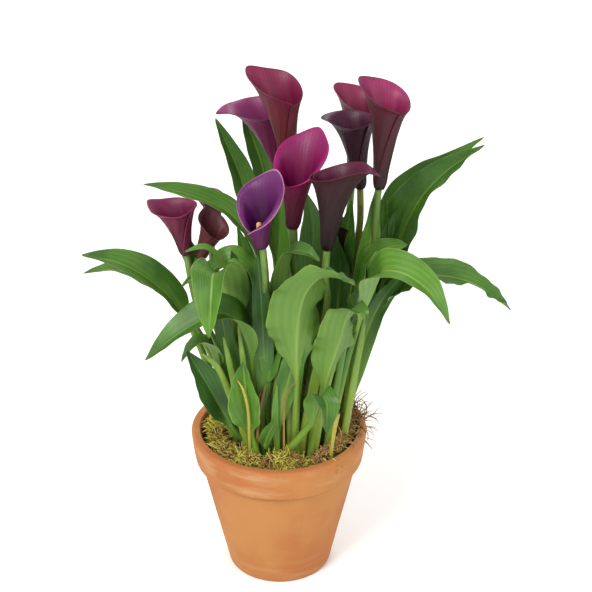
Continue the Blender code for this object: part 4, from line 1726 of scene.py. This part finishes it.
ROSE_BROWN = FlowerTone(
    outer_base=tint(42, 26, 24), outer_body=tint(76, 32, 36), outer_rim=tint(100, 32, 54),
    inner_base=tint(112, 10, 56), inner_body=tint(160, 28, 88), inner_rim=tint(172, 58, 112),
    edge=tint(104, 28, 54), vein=tint(50, 18, 24))
TALL_ROSE = FlowerTone(
    outer_base=tint(22, 12, 12), outer_body=tint(64, 18, 24), outer_rim=tint(116, 26, 54),
    inner_base=tint(84, 8, 38), inner_body=tint(124, 18, 62), inner_rim=tint(152, 46, 88),
    edge=tint(136, 40, 72), vein=tint(62, 16, 30))
NIGHT = FlowerTone(
    outer_base=tint(34, 14, 22), outer_body=tint(54, 14, 34), outer_rim=tint(70, 20, 48),
    inner_base=tint(44, 8, 28), inner_body=tint(70, 16, 48), inner_rim=tint(92, 30, 66),
    edge=tint(76, 26, 50), vein=tint(30, 8, 20), stalk=tint(134, 142, 54), freckles=0.7)
ROSE = FlowerTone(
    outer_base=tint(70, 22, 38), outer_body=tint(112, 32, 62), outer_rim=tint(142, 38, 84),
    inner_base=tint(70, 8, 38), inner_body=tint(106, 16, 60), inner_rim=tint(144, 44, 92),
    edge=tint(150, 46, 86), vein=tint(72, 18, 42))
PINK = FlowerTone(
    outer_base=tint(104, 36, 66), outer_body=tint(142, 52, 96), outer_rim=tint(166, 76, 124),
    inner_base=tint(110, 26, 72), inner_body=tint(140, 50, 100), inner_rim=tint(166, 80, 128),
    edge=tint(126, 40, 78), vein=tint(104, 28, 70))
RUSSET = FlowerTone(
    outer_base=tint(96, 62, 42), outer_body=tint(112, 44, 40), outer_rim=tint(98, 40, 52),
    inner_base=tint(92, 46, 36), inner_body=tint(104, 44, 44), inner_rim=tint(94, 44, 58),
    edge=tint(92, 40, 50), vein=tint(66, 26, 28))
BUD = FlowerTone(
    outer_base=tint(30, 14, 22), outer_body=tint(38, 14, 28), outer_rim=tint(56, 18, 40),
    inner_base=tint(30, 10, 22), inner_body=tint(42, 12, 30), inner_rim=tint(58, 20, 40),
    edge=tint(46, 14, 32), vein=tint(20, 6, 14))

LEAVES = [
    Leaf("leaf_long_left", LeafTone.MID, wave=0.0010, waves=2.2),
    Leaf("leaf_behind_left", LeafTone.PALE, wave=0.0008),
    Leaf("leaf_arched_left", LeafTone.MID, wave=0.0008, phase=1.0),
    Leaf("leaf_low_left", LeafTone.FRESH, wave=0.0006),
    Leaf("leaf_folded_left", LeafTone.FRESH, wave=0.0012, phase=2.0),
    Leaf("leaf_waved_left", LeafTone.FRESH, wave=0.0034, waves=3.2, phase=0.6),
    Leaf("leaf_high_left", LeafTone.MID, wave=0.0010, phase=2.6),
    Leaf("leaf_upright_left", LeafTone.MID, wave=0.0008, phase=0.4),
    Leaf("leaf_upright_back", LeafTone.MID, wave=0.0010, phase=3.0),
    Leaf("leaf_side_left", LeafTone.MID, wave=0.0018, waves=3.0, phase=1.3),
    Leaf("leaf_dark_left", LeafTone.DARK, wave=0.0008, phase=0.9),
    Leaf("leaf_sheath_left", LeafTone.FRESH, wave=0.0008, phase=2.2),
    Leaf("leaf_fresh_left", LeafTone.PALE, wave=0.0004),
    Leaf("leaf_hanging_middle", LeafTone.MID, wave=0.0012, phase=1.7),
    Leaf("leaf_broad_middle", LeafTone.PALE, wave=0.0042, waves=3.6, phase=2.4),
    Leaf("leaf_crest_middle", LeafTone.FRESH, wave=0.0008, phase=0.2),
    Leaf("leaf_tall_middle", LeafTone.DARK, wave=0.0008),
    Leaf("leaf_thin_middle", LeafTone.FRESH, wave=0.0003),
    Leaf("leaf_curled_front", LeafTone.MID, wave=0.0014, phase=2.9),
    Leaf("leaf_small_front", LeafTone.MID, wave=0.0004),
    Leaf("leaf_folded_right", LeafTone.PALE, wave=0.0036, waves=3.2, phase=1.1),
    Leaf("leaf_front_right", LeafTone.FRESH, wave=0.0010, phase=0.5),
    Leaf("leaf_long_right", LeafTone.MID, wave=0.0030, waves=4.2, phase=2.0),
    Leaf("leaf_waved_right", LeafTone.FRESH, wave=0.0026, waves=3.0, phase=0.3),
    Leaf("leaf_wide_right", LeafTone.MID, wave=0.0024, waves=3.2, phase=1.5),
    Leaf("leaf_pointed_right", LeafTone.MID, wave=0.0012, phase=2.7),
    Leaf("leaf_dark_right", LeafTone.DARK, wave=0.0010, phase=0.8),
    Leaf("leaf_upright_right", LeafTone.MID, wave=0.0008, phase=1.9),
    Leaf("leaf_inner_right", LeafTone.DARK, wave=0.0008, phase=0.1),
]

BACKWARD = (0.0, 1.0, 0.35)

INNER_LEAVES = [
    InnerLeaf("inner_tall_right", LeafTone.FRESH, half_width=0.0085, path=(
        (0.0517, -0.004, 0.118), (0.0562, -0.004, 0.144), (0.0652, 0.000, 0.210), (0.0737, 0.004, 0.278),
        (0.0796, 0.006, 0.330), (0.0837, 0.008, 0.374))),
    InnerLeaf("inner_middle_right", LeafTone.DARK, wave=0.0018, waves=3.0, half_width=0.0090, path=(
        (0.0430, 0.010, 0.118), (0.0467, 0.010, 0.130), (0.0604, 0.014, 0.202), (0.0737, 0.016, 0.262),
        (0.0884, 0.018, 0.310), (0.1030, 0.020, 0.349))),
    InnerLeaf("inner_dark_left", LeafTone.DARK, phase=0.7, half_width=0.0064, path=(
        (-0.0136, -0.034, 0.118), (-0.0148, -0.034, 0.150), (-0.0123, -0.038, 0.212),
        (-0.0126, -0.042, 0.263), (-0.0146, -0.044, 0.307), (-0.0167, -0.044, 0.336))),
    InnerLeaf("inner_left", LeafTone.DARK, phase=1.6, half_width=0.0085, path=(
        (-0.0227, 0.000, 0.118), (-0.0247, 0.000, 0.136), (-0.0257, 0.000, 0.200), (-0.0284, 0.000, 0.250),
        (-0.0329, -0.002, 0.291), (-0.0400, -0.004, 0.320))),
    InnerLeaf("inner_middle", LeafTone.DARK, phase=2.2, half_width=0.0085, path=(
        (0.0074, 0.010, 0.118), (0.0080, 0.010, 0.130), (0.0118, 0.012, 0.193), (0.0198, 0.014, 0.253),
        (0.0276, 0.016, 0.306), (0.0326, 0.018, 0.337))),
    InnerLeaf("inner_back", LeafTone.MID, phase=0.3, half_width=0.0110, path=(
        (0.0227, 0.020, 0.118), (0.0247, 0.020, 0.124), (0.0327, 0.024, 0.186), (0.0457, 0.028, 0.256),
        (0.0575, 0.030, 0.309), (0.0638, 0.030, 0.352))),
    InnerLeaf("inner_left_tall", LeafTone.MID, phase=2.8, half_width=0.0075, path=(
        (-0.0112, 0.012, 0.118), (-0.0122, 0.012, 0.129), (-0.0153, 0.012, 0.193), (-0.0199, 0.012, 0.254),
        (-0.0262, 0.010, 0.302), (-0.0350, 0.008, 0.337))),
    InnerLeaf("inner_low_right", LeafTone.MID, wave=0.0016, phase=1.2, half_width=0.0062, path=(
        (0.0556, -0.012, 0.118), (0.0604, -0.012, 0.149), (0.0693, -0.012, 0.207), (0.0812, -0.014, 0.258),
        (0.0966, -0.016, 0.290), (0.1152, -0.020, 0.313))),
    InnerLeaf("inner_low_left", LeafTone.MID, phase=0.2, half_width=0.0070, path=(
        (-0.0263, -0.020, 0.118), (-0.0286, -0.020, 0.143), (-0.0358, -0.022, 0.187),
        (-0.0428, -0.024, 0.229), (-0.0481, -0.024, 0.263), (-0.0552, -0.024, 0.290))),
    InnerLeaf("inner_front", LeafTone.MID, phase=1.9, half_width=0.0075, path=(
        (-0.0021, -0.040, 0.118), (-0.0023, -0.040, 0.145), (0.0015, -0.043, 0.184), (0.0102, -0.046, 0.222),
        (0.0154, -0.048, 0.252), (0.0104, -0.050, 0.273))),
    InnerLeaf("inner_back_left", LeafTone.MID, phase=0.9, half_width=0.0100, facing=BACKWARD, path=(
        (-0.0180, 0.028, 0.118), (-0.0230, 0.034, 0.160), (-0.0300, 0.046, 0.205),
        (-0.0380, 0.060, 0.236), (-0.0450, 0.074, 0.244))),
    InnerLeaf("inner_back_middle", LeafTone.FRESH, phase=2.5, half_width=0.0110, facing=BACKWARD, path=(
        (0.0020, 0.034, 0.118), (0.0030, 0.042, 0.165), (0.0070, 0.055, 0.212), (0.0110, 0.070, 0.240),
        (0.0150, 0.086, 0.238))),
    InnerLeaf("inner_back_right", LeafTone.DARK, phase=1.4, half_width=0.0100, facing=BACKWARD, path=(
        (0.0320, 0.026, 0.118), (0.0380, 0.034, 0.160), (0.0470, 0.047, 0.200), (0.0560, 0.062, 0.226),
        (0.0650, 0.076, 0.228))),
    InnerLeaf("inner_back_upright", LeafTone.MID, phase=0.5, half_width=0.0095, facing=BACKWARD, path=(
        (-0.0040, 0.030, 0.118), (-0.0090, 0.034, 0.180), (-0.0140, 0.040, 0.240), (-0.0180, 0.048, 0.285))),
]

FLOWERS = [
    Flower(1, WINE, opening=0.22, lip=0.0014, tip=0.003),
    Flower(2, PLUM, tip=0.010, tip_hook=0.004, tip_drop=0.014, flat_top=0.0),
    Flower(3, MAGENTA, opening=0.30, lip=0.0032, flat_top=0.12),
    Flower(4, PURPLE, opening=0.58, lip=0.0036, flat_top=0.16, tip=0.002),
    Flower(5, BURGUNDY, opening=0.0, brow=0.12, flat_top=0.14, tip_hook=0.004, tip_drop=0.006),
    Flower(6, ROSE_BROWN, opening=0.16, lip=0.0034, flat_top=0.10),
    Flower(7, TALL_ROSE, opening=0.25, lip=0.0024, flat_top=0.08),
    Flower(8, NIGHT, opening=0.0, flat_top=0.06, tip=0.005, tip_hook=0.004, tip_drop=0.005),
    Flower(9, ROSE, opening=0.0, flat_top=0.06, tip=0.005),
    Flower(10, PINK, flat_top=0.20, lip=0.003),
    Flower(11, RUSSET, flat_top=0.12),
    Flower(12, BUD, opening=0.3, lip=0.003),
]

SHOOTS = [
    Shoot("yellow_left", ((-0.025, -0.046, 0.118), (-0.0255, -0.046, 0.155), (-0.0263, -0.047, 0.187),
                          (-0.0302, -0.048, 0.208), (-0.0350, -0.050, 0.219)), 0.0027, 0.0018,
          ShootTone.YELLOW),
    Shoot("dry_middle", ((0.0045, -0.048, 0.118), (0.0048, -0.048, 0.150), (0.0050, -0.049, 0.183),
                         (0.0068, -0.050, 0.205), (0.0163, -0.052, 0.220)), 0.0020, 0.0016,
          ShootTone.DRY),
    Shoot("yellow_right", ((0.044, -0.050, 0.118), (0.0475, -0.050, 0.156), (0.0502, -0.051, 0.176),
                           (0.0534, -0.052, 0.187)), 0.0032, 0.0016, ShootTone.YELLOW, blade=0.3),
    Shoot("middle", ((0.0118, -0.034, 0.118), (0.0112, -0.035, 0.152), (0.0102, -0.036, 0.190),
                     (0.012, -0.037, 0.242), (0.0162, -0.030, 0.281)), 0.0085, 0.0058,
          ShootTone.LIGHT),
    Shoot("edged_middle", ((0.019, -0.034, 0.118), (0.0215, -0.035, 0.152), (0.0285, -0.036, 0.190),
                           (0.0361, -0.038, 0.230), (0.0478, -0.040, 0.2565)), 0.0075, 0.0036,
          ShootTone.LIGHT, blade=0.5),
    Shoot("young_middle", ((-0.001, -0.045, 0.118), (-0.0014, -0.045, 0.148), (-0.0029, -0.046, 0.181),
                           (-0.0009, -0.048, 0.214)), 0.0052, 0.0026, ShootTone.GREEN, blade=0.5),
    Shoot("left_outer", ((-0.024, -0.029, 0.118), (-0.0292, -0.030, 0.147), (-0.0406, -0.034, 0.189),
                         (-0.052, -0.036, 0.2227), (-0.0669, -0.038, 0.2397)), 0.0072, 0.0050,
          ShootTone.LIGHT),
    Shoot("left_inner", ((-0.0135, -0.029, 0.118), (-0.015, -0.030, 0.140), (-0.0198, -0.030, 0.187),
                         (-0.0269, -0.030, 0.237), (-0.0325, -0.030, 0.265)), 0.0078, 0.0052,
          ShootTone.GREEN),
    Shoot("right_outer", ((0.056, -0.020, 0.118), (0.0593, -0.020, 0.149), (0.0649, -0.020, 0.191),
                          (0.071, -0.020, 0.2365), (0.0756, -0.020, 0.269)), 0.0072, 0.0050,
          ShootTone.LIGHT),
    Shoot("right_inner", ((0.042, -0.030, 0.118), (0.0439, -0.030, 0.145), (0.0488, -0.030, 0.187),
                          (0.0559, -0.032, 0.238), (0.0615, -0.030, 0.2685)), 0.0074, 0.0050,
          ShootTone.GREEN),
    Shoot("brown_left", ((-0.0205, -0.040, 0.118), (-0.0191, -0.040, 0.147), (-0.016, -0.041, 0.183),
                         (-0.0105, -0.043, 0.211)), 0.0036, 0.0028, ShootTone.DRY),
    Shoot("brown_inner", ((-0.0250, -0.038, 0.118), (-0.0236, -0.038, 0.146), (-0.0196, -0.039, 0.180),
                          (-0.0141, -0.041, 0.206)), 0.0030, 0.0024, ShootTone.DRY),
    Shoot("behind_right", ((0.0191, 0.020, 0.118), (0.0270, 0.026, 0.175), (0.0298, 0.030, 0.224),
                           (0.0303, 0.030, 0.304), (0.0258, 0.030, 0.354)), 0.0075, 0.0030,
          ShootTone.LIGHT, blade=1.0),
    Shoot("behind_left", ((-0.0086, 0.010, 0.118), (-0.0050, 0.010, 0.175), (-0.0024, 0.010, 0.235),
                          (0.0050, 0.010, 0.304), (0.0027, 0.010, 0.364)), 0.0075, 0.0030,
          ShootTone.GREEN, blade=1.2),
    Shoot("stalk_1", ((-0.0262, -0.029, 0.118), (-0.0301, -0.030, 0.142), (-0.0356, -0.032, 0.183),
                      (-0.0417, -0.034, 0.2245), (-0.0471, -0.034, 0.254)), 0.0066, 0.0044, ShootTone.LIGHT),
    Shoot("stalk_2", ((-0.0215, -0.033, 0.118), (-0.0238, -0.034, 0.141), (-0.0275, -0.036, 0.185),
                      (-0.0303, -0.036, 0.2307), (-0.034, -0.034, 0.2668)), 0.0060, 0.0044, ShootTone.LIGHT),
    Shoot("stalk_3", ((-0.0138, -0.030, 0.118), (-0.0141, -0.030, 0.1365), (-0.0145, -0.030, 0.1816),
                      (-0.0132, -0.028, 0.231), (-0.0103, -0.024, 0.271)), 0.0072, 0.0046, ShootTone.GREEN),
    Shoot("stalk_4", ((-0.0075, -0.037, 0.118), (-0.0059, -0.038, 0.1418), (-0.003, -0.038, 0.1865),
                      (0.0008, -0.038, 0.2318), (0.0035, -0.036, 0.260)), 0.0062, 0.0044, ShootTone.LIGHT),
    Shoot("stalk_5", ((0.0122, -0.035, 0.118), (0.0136, -0.036, 0.1405), (0.0163, -0.038, 0.1865),
                      (0.0206, -0.040, 0.2329), (0.0256, -0.040, 0.262)), 0.0064, 0.0044, ShootTone.GREEN),
    Shoot("stalk_6", ((0.0200, -0.031, 0.118), (0.0225, -0.032, 0.1389), (0.0277, -0.034, 0.184),
                      (0.0344, -0.036, 0.2257), (0.0418, -0.036, 0.258)), 0.0058, 0.0042, ShootTone.LIGHT),
    Shoot("stalk_7", ((0.0300, -0.035, 0.118), (0.0332, -0.036, 0.1436), (0.039, -0.038, 0.1865),
                      (0.0473, -0.038, 0.2268), (0.0555, -0.036, 0.260)), 0.0062, 0.0044, ShootTone.LIGHT),
    Shoot("stalk_8", ((0.0400, -0.026, 0.118), (0.044, -0.026, 0.1424), (0.0516, -0.026, 0.1843),
                      (0.0597, -0.026, 0.2249), (0.068, -0.024, 0.2535)), 0.0066, 0.0044, ShootTone.GREEN),
    Shoot("edge_on", ((-0.0329, -0.010, 0.2754), (-0.0475, -0.012, 0.3129), (-0.0614, -0.015, 0.3285),
                      (-0.079, -0.018, 0.3252)), 0.0050, 0.0016, ShootTone.GREEN, blade=0.6,
          facing=(0.1, -0.5, 1.0)),
]

# The first, lowest tone of each cushion gives patches of dark threads: painted shade for the dark gaps in
# the moss.
MOSSES = [
    Moss("moss_front_left", (0.06, 0.45, 0.75, 0.95, 0.60, 0.28), threads=900, seed=11),
    Moss("moss_front", (0.05, 0.25, 0.45, 0.75, 0.90, 0.95), threads=900, stray=40, seed=12),
    Moss("moss_right", (0.04, 0.12, 0.22, 0.26, 0.75), threads=1200, stray=80, seed=13),
    Moss("moss_back", (0.05, 0.15, 0.30, 0.50), threads=760, seed=14),
    Moss("moss_left", (0.05, 0.25, 0.55, 0.90, 0.70), threads=1000, stray=40, seed=15),
]

TUFTS = [
    Tuft("tuft_right", (0.063, 0.012, 0.139), (0.014, 0.022, 0.010), (0.45, 0.0, 0.6),
         (0.06, 0.12, 0.22, 0.26), count=230, length=0.025, thread=0.0009),
    Tuft("tuft_front", (0.026, -0.0560, 0.1330), (0.030, 0.003, 0.003), (0.4, -0.3, 0.9),
         (0.3, 0.7, 0.85, 0.9), count=60, length=0.014, thread=0.0009, seed=32),
    Tuft("tuft_left", (-0.052, -0.026, 0.130), (0.009, 0.016, 0.006), (0.1, -0.1, 0.7),
         (0.22, 0.6, 0.85, 0.95), count=110, length=0.014, thread=0.0009, seed=33),
]


def main() -> None:
    """Build the whole object, piece by piece, and set the studio."""
    logging.basicConfig(level=logging.INFO, format="%(message)s")
    Studio().build()
    pot = Pot()
    pot.build()
    Soil(pot).build()
    moss = MOSS_THREADS.make()
    for one in MOSSES:
        one.build(moss, pot)
    for tuft in TUFTS:
        tuft.build(moss)
    skins = {tone: tone.value.make() for tone in LeafTone}
    for leaf in LEAVES + INNER_LEAVES:
        leaf.build(skins[leaf.tone])
    shoots = {tone: tone.value.make() for tone in ShootTone}
    for shoot in SHOOTS:
        shoot.build(shoots[shoot.tone])
    finger = SpadixFinish().make()
    for flower in FLOWERS:
        flower.build(finger)
    log.info("built %d leaves, %d inner leaves, %d shoots and %d flowers", len(LEAVES),
             len(INNER_LEAVES), len(SHOOTS), len(FLOWERS))


if __name__ == "__main__":
    main()
